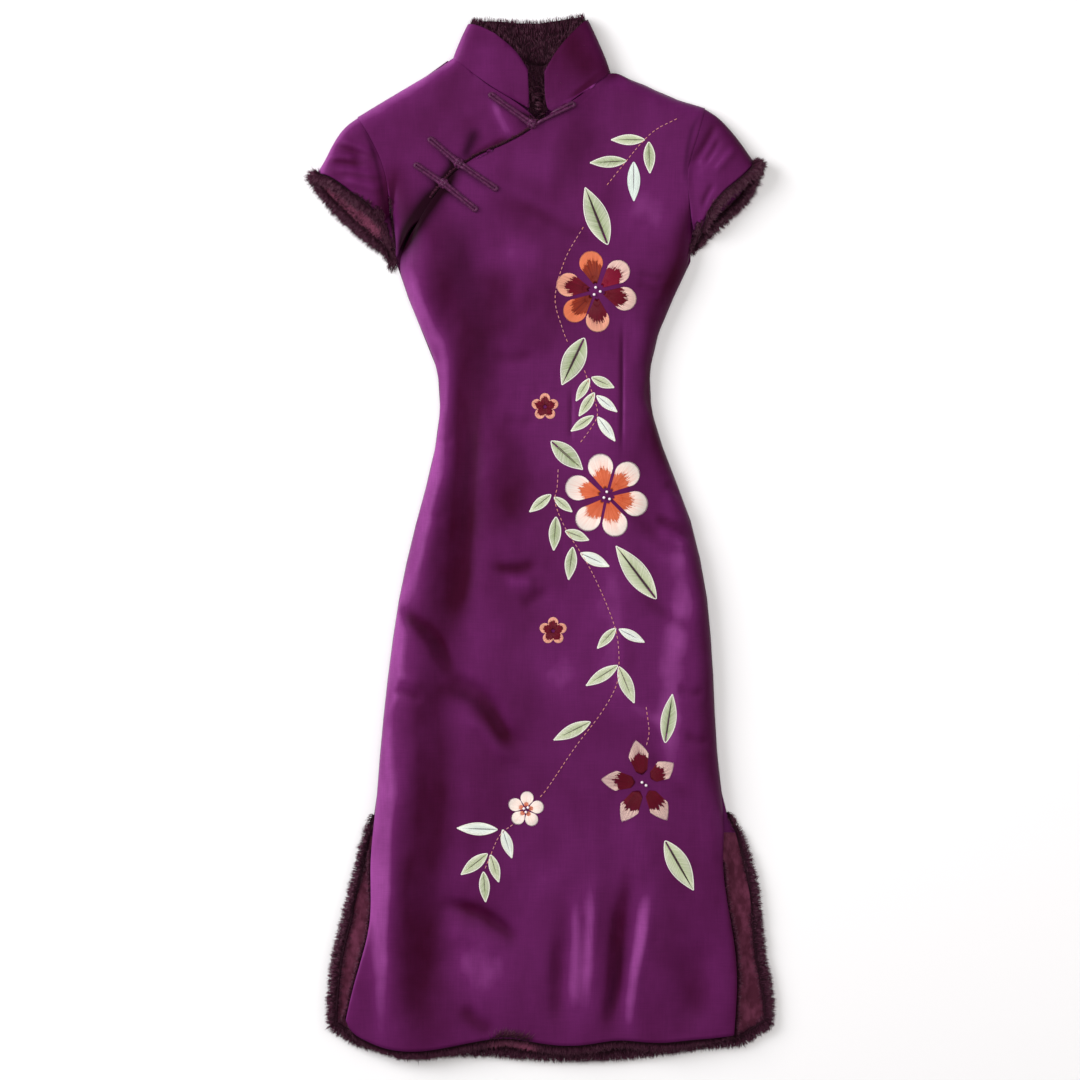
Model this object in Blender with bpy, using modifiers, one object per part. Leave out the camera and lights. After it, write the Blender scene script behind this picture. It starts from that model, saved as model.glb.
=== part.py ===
"""A padded silk cheongsam with fur trim, laid flat on its back with its front uppermost.

Sizes are in millimetres and become metres when a mesh is made. X runs to the right as one
looks down on the garment, Y from the hem to the collar and Z up from the floor it lies on.
"""

import math
from collections import namedtuple

import bmesh
import bpy
import numpy as np

METRES = 0.001
COLLECTION_NAME = "fur_trimmed_cheongsam"

# Driving sizes
CLOTH_WALL = 3.0
FACING_WALL = 2.0
COLLAR_LINING_WALL = 4.0
SEAM_GAP = 0.35
ARMHOLE_GAP = 0.9
LINING_GAP = 0.9
SIDE_SEAM_HEIGHT = 5.0
FREE_EDGE_HEIGHT = 20.0
SLIT_TOP_Y = -313.0
SLIT_EDGE_RISE = 62.0
ARMPIT_Y = 327.0
ARMPITS = ((-175.0, ARMPIT_Y), (178.0, ARMPIT_Y))
SIDE_FOLD_RADIUS = 26.0
SHOULDER_FOLD_RADIUS = 16.0
FLAP_LIFT = 4.4
FLAP_LIFT_REACH = 40.0
FLAP_LIFT_FADE = 36.0
FLAP_SIDE_FADE = 33.0
SLEEVE_TURN_RADIUS = 5.0
LEFT_SLEEVE_FOOT_Y = 375.0
RIGHT_SLEEVE_FOOT_Y = 352.0
BACK_SLEEVE_FOOT_Y = 340.0
NECK_RISE = 5.0
NECK_RISE_REACH = 34.0
NECK_POINTS = ((-108, 569), (84, 551))
COLLAR_FOLD_HEIGHT = 10.0
COLLAR_FOLD_RADIUS = 12.0
COLLAR_THICKNESS = 26.0
COLLAR_FUR_SHOWS = 10.0
COLLAR_FUR_SHOWS_FRONT = 4.0
COLLAR_FUR_FOOT_SHARE = 0.08
COLLAR_FUR_REACH_LEFT = 7.5
COLLAR_FUR_REACH_RIGHT = 5.5
CUFF_FUR_HALF_WIDTH = 6.0
CUFF_FUR_HALF_HEIGHT = 3.5
CUFF_FUR_TURN_SHARE = 0.92
CUFF_FUR_GAP = 0.9
CUFF_FUR_TAPER = 7.0
CUFF_FUR_END_SHARE = 0.35
FLOOR_GAP = 0.05
FRONT_FUR_TOP_Y = -362.0
FRONT_FUR_STEP = 18.0
FRONT_FUR_FOOT = 11.6
FRONT_FUR_TOP_GAP = 0.9
FRONT_FUR_LEAST = 2.8
BACK_FUR_GAP = 0.5
FACING_TOP_Y = -345.0
FACING_WIDTH = 46.0
FACING_EDGE_GAP = 1.0
FACING_CORNERS = ((-200.0, -546.0), (222.0, -542.0))
OPENING_FUR_HALF = 2.1
OPENING_FUR_GAP = 0.5
CORD_DIAMETER = 3.2
CORD_SPACING = 3.7
CORD_GAP = 0.4
KNOT_RADIUS = 5.5

# How many steps the meshes take
FRONT_COLUMNS = 23
FRONT_ROWS = 28
OPENING_ROWS = 10
UNDERLAP_COLUMNS = 12
UNDERLAP_ROWS = 12
BACK_COLUMNS = 15
BACK_SLIT_ROWS = 12
BACK_BODY_ROWS = 15
BACK_SHOULDER_ROWS = 11
SLEEVE_ROWS = 6
COLLAR_FRONT_COLUMNS = 8
COLLAR_BACK_COLUMNS = 10
COLLAR_ROWS = 5
CUFF_FUR_FRONT_RINGS = 8
CUFF_FUR_BACK_RINGS = 12
CUFF_FUR_SIDES = 8
OPENING_FUR_FIRST_ROW = 2
OPENING_FUR_SIDES = 6
FACING_COLUMNS = 3
CORD_STEPS = 5
CORD_BEVEL = 2

# Outlines of the pieces as they lie, each a short row of (x, y) points

LEFT_SIDE = (
    (-234, -579), (-223, -531), (-210, -489), (-203, -453), (-205, -411), (-203, -363), (-198, -313),
    (-193, -250), (-184, -165), (-170, -70), (-150, 17), (-132, 85), (-122, 149), (-127, 205),
    (-151, 258), (-175, 327),
)
SLIT_TOP_POINT = 6
RIGHT_SIDE = (
    (229, -597), (233, -535), (230, -489), (221, -440), (215, -400), (218, -355), (216, -313),
    (209, -250), (205, -165), (197, -70), (178, 17), (152, 85), (131, 149), (130, 205),
    (145, 255), (178, 327),
)
FRONT_HEM = (
    (-234, -579), (-226, -594), (-210, -603), (-187, -613), (-150, -617), (-113, -611), (-74, -603),
    (-36, -598), (-2, -607), (28, -610), (64, -607), (97, -600), (131, -607), (167, -603), (204, -600),
    (229, -597),
)
BACK_LEFT_SIDE = (
    (-248, -586), (-246, -547), (-240, -501), (-222, -431), (-210, -380), (-202, -340), (-198, -313),
)
BACK_RIGHT_SIDE = (
    (269, -583), (266, -545), (257, -501), (250, -431), (235, -365), (222, -335), (216, -313),
)
BACK_HEM = (
    (-248, -586), (-240, -597), (-216, -604), (-180, -611), (-145, -616), (-110, -614), (-56, -614),
    (-2, -619), (52, -620), (106, -617), (160, -610), (196, -605), (232, -603), (256, -596),
    (269, -583),
)
DIAGONAL_OPENING = (
    (-175, 327), (-163, 346), (-143, 379), (-126, 406), (-108, 428), (-82, 448), (-42, 464),
    (-11, 482), (-2, 493),
)
UNDERLAP_HIDDEN_EDGE = (
    (-175, 332), (-166, 348), (-148, 379), (-124, 380), (-98, 398), (-66, 418), (-28, 436),
    (2, 458), (4, 478), (-8, 495),
)
LEFT_ARMHOLE = (
    (-175, 327), (-174, 347), (-181, 383), (-184, 419), (-190, 442), (-199, 463), (-209, 481), (-221, 500),
)
RIGHT_ARMHOLE = (
    (178, 327), (178, 345), (181, 368), (176, 392), (172, 424), (174, 444), (183, 468), (195, 511),
)
LEFT_SHOULDER = ((-221, 500), (-190, 519), (-158, 538), (-126, 557), (-108, 569))
RIGHT_SHOULDER = ((195, 511), (154, 524), (118, 541), (98, 546), (84, 551))
LEFT_NECKLINE = ((-8, 496), (-18, 505), (-37, 519), (-55, 529), (-70, 539), (-92, 557), (-108, 569))
RIGHT_NECKLINE = ((-2, 493), (6, 497), (40, 518), (62, 535), (84, 551))
BACK_NECKLINE = ((-108, 569), (-70, 560), (-11, 554), (45, 548), (84, 551))
LEFT_SLEEVE_TOP = ((-270, 434), (-260, 448), (-251, 468), (-240, 484), (-230, 495), (-221, 500))
RIGHT_SLEEVE_TOP = ((255, 446), (243, 463), (229, 482), (214, 498), (204, 508), (195, 511))
LEFT_CUFF_FRONT = ((-187, 376), (-202, 391), (-218, 402), (-232, 414), (-251, 427), (-270, 434))
LEFT_CUFF_BACK = ((-184, 345), (-193, 352), (-205, 362), (-222, 377), (-249, 404), (-270, 434))
LEFT_CUFF_FUR_END = (-177, 333)
RIGHT_CUFF_FRONT = ((186, 364), (196, 384), (204, 398), (217, 412), (235, 426), (255, 446))
RIGHT_CUFF_BACK = ((182, 350), (193, 364), (207, 378), (223, 392), (242, 413), (255, 446))
RIGHT_CUFF_FUR_END = (178, 345)
COLLAR_BASE_LEFT = ((-15, 507), (-37, 520), (-55, 530), (-70, 540), (-92, 558), (-108, 570))
COLLAR_BASE_RIGHT = ((4, 498), (22, 507), (40, 520), (62, 537), (84, 554))
COLLAR_BASE_BACK = ((-108, 570), (-70, 561), (-11, 555), (45, 550), (84, 554))
COLLAR_TOP_LEFT = ((-17, 553), (-20, 562), (-30, 574), (-50, 592), (-70, 603), (-91, 609))
COLLAR_TOP_RIGHT = ((3, 551), (14, 571), (30, 590), (44, 604), (57, 615))
COLLAR_TOP_BACK = ((-91, 609), (-50, 607), (-11, 604), (25, 609), (57, 615))

# How high the front lies above the floor at each height of the garment, away from its folded edges
Crown = namedtuple("Crown", "y height")
CROWNS = (
    Crown(-640, 22), Crown(-560, 23), Crown(-450, 25), Crown(-313, 28), Crown(-165, 31), Crown(-31, 32),
    Crown(85, 29), Crown(160, 26), Crown(235, 30), Crown(300, 33), Crown(380, 29), Crown(450, 25),
    Crown(520, 24), Crown(650, 26),
)

# The largest folds of the front: a straight ridge (height above zero) or trough (below zero)
Fold = namedtuple("Fold", "name x0 y0 x1 y1 width height")
FRONT_FOLDS = (
    Fold("left_ridge", -176, -560, -128, 60, 16, 3.0),
    Fold("left_valley", -118, -520, -92, 240, 26, -6.0),
    Fold("bust_valley", -120, 250, -60, 330, 24, -4.0),
    Fold("centre_swell", 92, -190, 82, 160, 42, 3.5),
    Fold("bust_swell", 60, 270, 96, 360, 40, 3.5),
    Fold("right_waist_trough", 88, 140, 128, 90, 12, -2.5),
    Fold("upper_s_crease", -126, -180, -84, -206, 12, -4.0),
    Fold("lower_s_crease", -84, -206, -28, -256, 12, -4.0),
    Fold("lower_left_crease", -126, -443, -30, -484, 15, -4.0),
    Fold("hem_fold_left", 38, -560, 42, -440, 11, -4.0),
    Fold("hem_ridge", 68, -570, 72, -390, 12, 4.0),
    Fold("hem_fold_middle", 94, -580, 92, -390, 12, -4.5),
    Fold("hem_ridge_right", 128, -540, 122, -360, 14, 3.5),
    Fold("hem_hollow_right", 176, -570, 190, -490, 22, -4.5),
    Fold("sleeve_left_fold_upper", -246, 476, -198, 452, 6, 2.0),
    Fold("sleeve_left_fold_middle", -256, 446, -194, 432, 5, 2.5),
    Fold("sleeve_left_fold_lower", -240, 424, -190, 410, 5, 2.5),
    Fold("sleeve_left_gather", -252, 456, -196, 442, 4, -2.0),
    Fold("sleeve_right_fold", 214, 488, 182, 440, 9, -3.0),
)

# How far the fur trim stands out and rises along its edge, by the share of the edge's length
FurReach = namedtuple("FurReach", "share reach rise lip")
BACK_FUR_REACH = (
    FurReach(0.0, 5.0, 0.5, 0.0), FurReach(0.02, 10.0, 0.8, 0.0), FurReach(0.08, 11.0, 1.0, 0.0),
    FurReach(0.14, 11.0, 1.0, 6.0), FurReach(0.5, 11.5, 1.0, 7.0), FurReach(0.86, 11.0, 1.0, 6.0),
    FurReach(0.92, 11.0, 1.0, 0.0), FurReach(0.97, 9.0, 0.6, 0.0), FurReach(1.0, 3.0, 0.45, 0.0),
)
FRONT_FUR_REACH = (
    FurReach(0.0, 2.5, 0.6, 7.0), FurReach(0.1, 4.0, 1.0, 9.0), FurReach(0.24, 5.0, 1.0, 9.0),
    FurReach(0.3, 11.0, 1.0, 10.0), FurReach(0.72, 11.0, 1.0, 10.0), FurReach(0.8, 6.0, 1.0, 9.0),
    FurReach(1.0, 2.5, 0.6, 7.0),
)

# Cross-sections of the fur trims: each point's way out in shares of the reach and back in shares of
# the lip, and its height, in shares of the trim's thickness in front and in millimetres behind
SectionPoint = namedtuple("SectionPoint", "reach lip height")
FRONT_FUR_SECTION = (
    SectionPoint(0.0, 1.0, 0.5), SectionPoint(0.0, 0.7, 0.0), SectionPoint(0.3, 0.0, 0.0),
    SectionPoint(1.0, 0.0, 0.4), SectionPoint(0.85, 0.0, 0.96), SectionPoint(0.25, 0.0, 1.0),
    SectionPoint(0.0, 0.6, 0.95),
)
BACK_FUR_SECTION = (
    SectionPoint(0.0, 0.0, 0.0), SectionPoint(0.7, 0.0, 0.0), SectionPoint(1.0, 0.0, 3.5),
    SectionPoint(0.9, 0.0, 7.5), SectionPoint(0.5, 0.0, 11.0), SectionPoint(0.0, 0.5, 10.2),
    SectionPoint(0.0, 1.0, 7.6), SectionPoint(0.0, 1.0, 5.9), SectionPoint(0.0, 0.0, 5.9),
)

# The three fastenings: knot and the outer ends of both loops
Frog = namedtuple("Frog", "name knot left_end right_end")
FROGS = (
    Frog("neck", (-12, 488), (-62, 524), (38, 512)),
    Frog("upper", (-99, 441), (-134, 471), (-54, 410)),
    Frog("lower", (-117, 417), (-151, 440), (-78, 385)),
)

Finish = namedtuple("Finish", "name colour roughness metallic")
SILK = Finish("purple_silk", (0.110, 0.020, 0.095), 0.42, 0.0)
FUR = Finish("dark_fur", (0.030, 0.012, 0.016), 0.95, 0.0)
PLUSH = Finish("burgundy_plush", (0.110, 0.018, 0.045), 0.90, 0.0)
CORD = Finish("corded_silk", (0.080, 0.015, 0.065), 0.40, 0.0)


def clear_scene():
    """Remove whatever the file holds, so the garment stands alone."""
    for item in list(bpy.data.objects):
        bpy.data.objects.remove(item, do_unlink=True)


def garment_collection():
    """Make the collection that holds every piece."""
    collection = bpy.data.collections.new(COLLECTION_NAME)
    bpy.context.scene.collection.children.link(collection)
    return collection


def material_for(piece_name, finish):
    """Make one piece's own material from a finish."""
    material = bpy.data.materials.new(f"{piece_name}_{finish.name}")
    material.use_nodes = True
    shader = material.node_tree.nodes["Principled BSDF"]
    shader.inputs["Base Color"].default_value = (*finish.colour, 1.0)
    shader.inputs["Roughness"].default_value = finish.roughness
    shader.inputs["Metallic"].default_value = finish.metallic
    return material


# Curves and shares along them


def smooth_points(points, steps=12):
    """Points of a Catmull-Rom curve through the given ones."""
    knots = np.asarray(points, float)
    padded = np.vstack([2 * knots[0] - knots[1], knots, 2 * knots[-1] - knots[-2]])
    found = []
    for start in range(len(knots) - 1):
        before, here, after, beyond = padded[start:start + 4]
        for share in np.arange(steps) / steps:
            found.append(
                0.5 * (
                    2 * here
                    + (after - before) * share
                    + (2 * before - 5 * here + 4 * after - beyond) * share ** 2
                    + (3 * here - before - 3 * after + beyond) * share ** 3
                )
            )
    found.append(knots[-1])
    return np.array(found)


def along(points, shares):
    """Places on the smooth curve through points, by shares of its length."""
    curve = smooth_points(points)
    steps = np.linalg.norm(np.diff(curve, axis=0), axis=1)
    lengths = np.concatenate([[0.0], np.cumsum(steps)])
    wanted = np.asarray(shares, float) * lengths[-1]
    return np.stack([np.interp(wanted, lengths, curve[:, axis]) for axis in range(curve.shape[1])], axis=1)


def joined(*outlines):
    """One outline from several that follow each other."""
    points = list(outlines[0])
    for outline in outlines[1:]:
        points += list(outline)[1:]
    return tuple(points)


def reversed_outline(outline):
    """The same outline from its other end."""
    return tuple(reversed(outline))


def even_shares(count):
    """Shares from 0 to 1 at even steps."""
    return np.linspace(0.0, 1.0, count)


def edge_dense_shares(count):
    """Shares from 0 to 1 that lie closer together towards both ends."""
    return 0.5 * (1.0 - np.cos(np.pi * even_shares(count)))


def end_dense_shares(count):
    """Shares from 0 to 1 that lie closer together towards 1."""
    return np.sin(0.5 * np.pi * even_shares(count))


def smooth_step(value):
    """0 below 0, 1 above 1, and an even rise between."""
    share = np.clip(value, 0.0, 1.0)
    return share * share * (3.0 - 2.0 * share)


def coons_patch(bottom, top, left, right, across, upwards):
    """A grid of places inside four outlines, [row, column, xy]; rows run from bottom to top."""
    low = along(bottom, across)[None, :, :]
    high = along(top, across)[None, :, :]
    near = along(left, upwards)[:, None, :]
    far = along(right, upwards)[:, None, :]
    u = across[None, :, None]
    v = upwards[:, None, None]
    corners = (
        (1 - u) * (1 - v) * low[:, :1]
        + u * (1 - v) * low[:, -1:]
        + (1 - u) * v * high[:, :1]
        + u * v * high[:, -1:]
    )
    return (1 - v) * low + v * high + (1 - u) * near + u * far - corners


# Heights of the cloth above the floor


def distance_to(places, outline):
    """How far each place lies from an outline."""
    curve = smooth_points(outline, steps=6)
    starts, ends = curve[:-1], curve[1:]
    spans = ends - starts
    flat = places.reshape(-1, 1, 2)
    shares = ((flat - starts) * spans).sum(axis=2) / (spans ** 2).sum(axis=1)
    nearest = starts + np.clip(shares, 0.0, 1.0)[..., None] * spans
    return np.linalg.norm(flat - nearest, axis=2).min(axis=1).reshape(places.shape[:-1])


def quarter_round(share):
    """The rise of a quarter circle, 0 at its foot and 1 from its top on."""
    return np.sqrt(1.0 - (1.0 - np.clip(share, 0.0, 1.0)) ** 2)


def fold_relief(places):
    """The height that the large folds add at each place."""
    relief = np.zeros(places.shape[:-1])
    for fold in FRONT_FOLDS:
        start = np.array([fold.x0, fold.y0], float)
        span = np.array([fold.x1, fold.y1], float) - start
        share = np.clip(((places - start) @ span) / (span @ span), 0.0, 1.0)
        away = np.linalg.norm(places - (start + share[..., None] * span), axis=-1)
        relief += fold.height * np.exp(-((away / fold.width) ** 2))
    return relief


def side_outlines():
    """The outlines along which front and back meet: left, right, and both upper edges."""
    left = joined(LEFT_SIDE, LEFT_ARMHOLE[:3])
    right = joined(RIGHT_SIDE, RIGHT_ARMHOLE[:3])
    left_top = joined(LEFT_SLEEVE_TOP, LEFT_SHOULDER, (LEFT_SHOULDER[-1], COLLAR_TOP_LEFT[-1]))
    right_top = joined(RIGHT_SLEEVE_TOP, RIGHT_SHOULDER, (RIGHT_SHOULDER[-1], COLLAR_TOP_RIGHT[-1]))
    return left, right, left_top, right_top


def front_height(places):
    """Height of the front's outer face at each place."""
    left, right, left_top, right_top = side_outlines()
    from_sides = np.minimum(distance_to(places, left), distance_to(places, right))
    from_tops = np.minimum(distance_to(places, left_top), distance_to(places, right_top))
    crown = np.interp(places[..., 1], [c.y for c in CROWNS], [c.height for c in CROWNS])
    crown = crown + fold_relief(places)
    rise = smooth_step((SLIT_TOP_Y - places[..., 1]) / SLIT_EDGE_RISE)
    edge = SIDE_SEAM_HEIGHT + (FREE_EDGE_HEIGHT - SIDE_SEAM_HEIGHT) * rise
    for neck_point in NECK_POINTS:
        from_neck = np.linalg.norm(places - np.array(neck_point, float), axis=-1)
        edge = edge + NECK_RISE * (1.0 - smooth_step(from_neck / NECK_RISE_REACH))
    at_sides = quarter_round(from_sides / SIDE_FOLD_RADIUS)
    at_tops = quarter_round(from_tops / SHOULDER_FOLD_RADIUS)
    return edge + (crown - edge) * at_sides * at_tops


def flap_lift(places):
    """How much the flap rises where it lies on the underlap."""
    left = side_outlines()[0]
    from_edge = distance_to(places, DIAGONAL_OPENING)
    near_edge = 1.0 - smooth_step((from_edge - FLAP_LIFT_REACH) / FLAP_LIFT_FADE)
    clear_of_side = smooth_step(distance_to(places, left) / FLAP_SIDE_FADE)
    return FLAP_LIFT * near_edge * clear_of_side


def raised(places, heights):
    """Places and heights put together as points."""
    return np.concatenate([places, heights[..., None]], axis=-1)


# Making meshes


def new_object(name, mesh, finish, collection):
    """Put a mesh in the collection as a named, dressed object."""
    mesh.shade_smooth()
    piece = bpy.data.objects.new(name, mesh)
    piece.data.materials.append(material_for(name, finish))
    collection.objects.link(piece)
    return piece


def sheet(name, points, wall, facing_up, finish, collection):
    """A cloth piece: a grid laid on points, thickened away from its outer face."""
    rows, columns = points.shape[:2]
    grid = bmesh.new()
    bmesh.ops.create_grid(grid, x_segments=columns - 1, y_segments=rows - 1, size=1.0)
    grid.verts.ensure_lookup_table()
    for vertex, point in zip(grid.verts, points.reshape(-1, 3)):
        vertex.co = point * METRES
    grid.normal_update()
    grid.faces.ensure_lookup_table()
    quarter_way = grid.faces[(columns - 1) // 4]
    if (quarter_way.normal.z > 0) != facing_up:
        bmesh.ops.reverse_faces(grid, faces=grid.faces)
    mesh = bpy.data.meshes.new(name)
    grid.to_mesh(mesh)
    grid.free()
    piece = new_object(name, mesh, finish, collection)
    solid = piece.modifiers.new("Cloth wall", "SOLIDIFY")
    solid.thickness = wall * METRES
    solid.offset = -1.0
    solid.use_even_offset = True
    solid.use_rim = True
    return piece


def swept(name, rings, finish, collection):
    """A solid lofted through rings of unlike size, [ring, point, xyz], and capped."""
    shape = bmesh.new()
    loops = [[shape.verts.new(point * METRES) for point in ring] for ring in rings]
    count = len(loops[0])
    for here, there in zip(loops[:-1], loops[1:]):
        for corner in range(count):
            after = (corner + 1) % count
            shape.faces.new((here[corner], here[after], there[after], there[corner]))
    shape.faces.new(loops[0])
    shape.faces.new(loops[-1])
    bmesh.ops.recalc_face_normals(shape, faces=shape.faces)
    mesh = bpy.data.meshes.new(name)
    shape.to_mesh(mesh)
    shape.free()
    return new_object(name, mesh, finish, collection)


def outward_of(path, clockwise):
    """Unit directions in plan, square to a path, on its left or right side."""
    run = np.gradient(path, axis=0)
    run /= np.linalg.norm(run, axis=1)[:, None]
    side = np.stack([run[:, 1], -run[:, 0]], axis=1)
    return -side if clockwise else side


# The pieces


def front_places():
    """The front's grid in plan: rows from hem to armpits, then on to the neck and right shoulder."""
    across = edge_dense_shares(FRONT_COLUMNS)
    upwards = even_shares(FRONT_ROWS)
    lower = coons_patch(FRONT_HEM, ARMPITS, LEFT_SIDE, RIGHT_SIDE, across, upwards)
    neck_and_shoulder = joined(RIGHT_NECKLINE, reversed_outline(RIGHT_SHOULDER))
    upper = coons_patch(
        ARMPITS, neck_and_shoulder, DIAGONAL_OPENING, RIGHT_ARMHOLE, across,
        end_dense_shares(OPENING_ROWS),
    )
    return np.concatenate([lower, upper[1:]])


def underlap_places():
    """The underlap's grid in plan: rows from its hidden edge up to the shoulder."""
    return coons_patch(
        UNDERLAP_HIDDEN_EDGE,
        LEFT_SHOULDER,
        UNDERLAP_HIDDEN_EDGE[:1] + LEFT_ARMHOLE[1:],
        LEFT_NECKLINE,
        edge_dense_shares(UNDERLAP_COLUMNS),
        end_dense_shares(UNDERLAP_ROWS),
    )


def back_places():
    """The back's grid in plan, hem to shoulders, with closer rows beside the slits."""
    across = even_shares(BACK_COLUMNS)
    slit_share = (SLIT_TOP_Y - BACK_HEM[0][1]) / (ARMPIT_Y - BACK_HEM[0][1])
    beside_slits = slit_share * even_shares(BACK_SLIT_ROWS)
    above_slits = slit_share + (1 - slit_share) * even_shares(BACK_BODY_ROWS)
    upwards = np.concatenate([beside_slits, above_slits[1:]])
    left = joined(BACK_LEFT_SIDE, LEFT_SIDE[SLIT_TOP_POINT:])
    right = joined(BACK_RIGHT_SIDE, RIGHT_SIDE[SLIT_TOP_POINT:])
    lower = coons_patch(BACK_HEM, ARMPITS, left, right, across, upwards)
    top = joined(LEFT_SHOULDER, BACK_NECKLINE, reversed_outline(RIGHT_SHOULDER))
    upper = coons_patch(ARMPITS, top, LEFT_ARMHOLE, RIGHT_ARMHOLE, across, even_shares(BACK_SHOULDER_ROWS))
    return np.concatenate([lower, upper[1:]])


def skirt_edge(places, below_y):
    """The edge of a panel's grid round its skirt: down the left slit, along the hem, up the right slit."""
    left = places[1:, 0]
    right = places[1:, -1]
    left = left[left[:, 1] < below_y][::-1]
    right = right[right[:, 1] < below_y]
    return left, places[0], right


def front_panel(collection):
    """The front with its slanting flap, hem to right shoulder, as one sheet."""
    places = front_places()
    points = raised(places, front_height(places) + flap_lift(places))
    return sheet("front_panel", points, CLOTH_WALL, True, SILK, collection)


def underlap(collection):
    """The small front piece that the flap closes over."""
    places = underlap_places()
    return sheet("underlap", raised(places, front_height(places)), CLOTH_WALL, True, SILK, collection)


def back_panel(collection):
    """The back, flat on the floor, from hem to back neckline."""
    places = back_places()
    points = raised(places, np.zeros(places.shape[:-1]))
    return sheet("back_panel", points, CLOTH_WALL, False, SILK, collection)


def armhole_points(edge, above_y, away):
    """The part of a panel's edge that carries a sleeve, set off from the panel by the seam gap."""
    carried = edge[edge[:, 1] >= above_y]
    return carried + outward_of(carried, away) * ARMHOLE_GAP


def sleeve_layer(armhole, cuff, top_edge):
    """Places of one layer of a sleeve, rows from cuff to armhole, columns from underarm to top edge."""
    steps = np.linalg.norm(np.diff(armhole, axis=0), axis=1)
    spans = np.concatenate([[0.0], np.cumsum(steps)]) / steps.sum()
    outwards = even_shares(SLEEVE_ROWS)[:, None, None]
    ruled = along(cuff, spans) * (1.0 - outwards) + armhole * outwards
    top = along(top_edge[:-1] + (tuple(armhole[-1]),), even_shares(SLEEVE_ROWS))
    bulge = top - ruled[:, -1]
    return ruled + bulge[:, None, :] * (spans ** 3)[None, :, None]


def cap_sleeve(name, front_armhole, back_armhole, top_edge, cuff_front, cuff_back, collection):
    """One cap sleeve: a wedge in front, folded over the shoulder edge to a wedge behind."""
    front = sleeve_layer(front_armhole, cuff_front, top_edge)
    behind = sleeve_layer(back_armhole, cuff_back, top_edge)
    turn = distance_to(behind, top_edge) / SLEEVE_TURN_RADIUS
    front_points = raised(front, front_height(front))
    back_points = raised(behind, SIDE_SEAM_HEIGHT * (1.0 - quarter_round(turn)))
    points = np.concatenate([front_points, back_points[:, ::-1][:, 1:]], axis=1)
    return sheet(name, points, CLOTH_WALL, True, SILK, collection)


def sleeves(collection):
    """Both cap sleeves."""
    back = back_places()
    cap_sleeve(
        "sleeve_left",
        armhole_points(underlap_places()[:, 0], LEFT_SLEEVE_FOOT_Y, True),
        armhole_points(back[:, 0], BACK_SLEEVE_FOOT_Y, True),
        LEFT_SLEEVE_TOP, LEFT_CUFF_FRONT, LEFT_CUFF_BACK, collection,
    )
    cap_sleeve(
        "sleeve_right",
        armhole_points(front_places()[:, -1], RIGHT_SLEEVE_FOOT_Y, False),
        armhole_points(back[:, -1], BACK_SLEEVE_FOOT_Y, False),
        RIGHT_SLEEVE_TOP, RIGHT_CUFF_FRONT, RIGHT_CUFF_BACK, collection,
    )


def collar_section(base, top, reach_above, around, upwards):
    """Places of one side of the collar band, [row, column, xy], rows from base past the top edge."""
    low = along(base, around)[None, :, :]
    high = along(top, around)[None, :, :]
    tall = np.linalg.norm(high - low, axis=-1, keepdims=True)
    share = upwards[:, None, None] * (1.0 + reach_above[None, :, None] / tall)
    return low + (high - low) * share


def lengthened(outline, reach):
    """An outline with its first point moved outwards along its first stretch."""
    first = np.array(outline[0], float)
    away = first - np.array(outline[1], float)
    moved = first + away / np.linalg.norm(away) * reach
    return (tuple(moved),) + tuple(outline[1:])


def collar_points(reach_left, reach_right, reach_front, reach_back, upwards):
    """The outer face of the collar band, from its left front end round the back to its right end."""
    around = end_dense_shares(COLLAR_FRONT_COLUMNS)
    behind = edge_dense_shares(COLLAR_BACK_COLUMNS)
    rise_front = reach_front + (reach_back - reach_front) * around
    left = collar_section(
        lengthened(COLLAR_BASE_LEFT, reach_left), lengthened(COLLAR_TOP_LEFT, reach_left),
        rise_front, around, upwards,
    )
    right = collar_section(
        lengthened(COLLAR_BASE_RIGHT, reach_right), lengthened(COLLAR_TOP_RIGHT, reach_right),
        rise_front, around, upwards,
    )
    back = collar_section(
        COLLAR_BASE_BACK, COLLAR_TOP_BACK, np.full(len(behind), reach_back), behind, upwards
    )
    left_height = collar_height(left, left[0, -1], left[-1, -1], True)
    right_height = collar_height(right, right[0, -1], right[-1, -1], True)
    left_turn = collar_height(back, back[0, 0], back[-1, 0], False)
    right_turn = collar_height(back, back[0, -1], back[-1, -1], False)
    return np.concatenate(
        [
            raised(left, left_height),
            raised(back, np.maximum(left_turn, right_turn))[:, 1:-1],
            raised(right, right_height)[:, ::-1],
        ],
        axis=1,
    )


def collar_height(places, fold_low, fold_high, in_front):
    """Height of the collar's outer face, in front or behind, by its distance from a side fold."""
    away = distance_to(places, (tuple(fold_low), tuple(fold_high)))
    rise = quarter_round(away / COLLAR_FOLD_RADIUS)
    if in_front:
        return COLLAR_FOLD_HEIGHT + (COLLAR_THICKNESS - COLLAR_FOLD_HEIGHT) * rise
    return COLLAR_FOLD_HEIGHT * (1.0 - rise)


def moved_in(points, distance):
    """A grid of points moved inwards, square to its surface, away from its outer face."""
    down = np.gradient(points, axis=0)
    along_row = np.gradient(points, axis=1)
    square = np.cross(along_row, down)
    square /= np.linalg.norm(square, axis=-1, keepdims=True)
    if square[0, len(square[0]) // 4, 2] > 0:
        square = -square
    return points + square * distance


def collar(collection):
    """The stand collar, a band with its two ends at the centre front."""
    points = collar_points(0.0, 0.0, 0.0, 0.0, even_shares(COLLAR_ROWS))
    return sheet("collar", points, CLOTH_WALL, True, SILK, collection)


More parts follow.
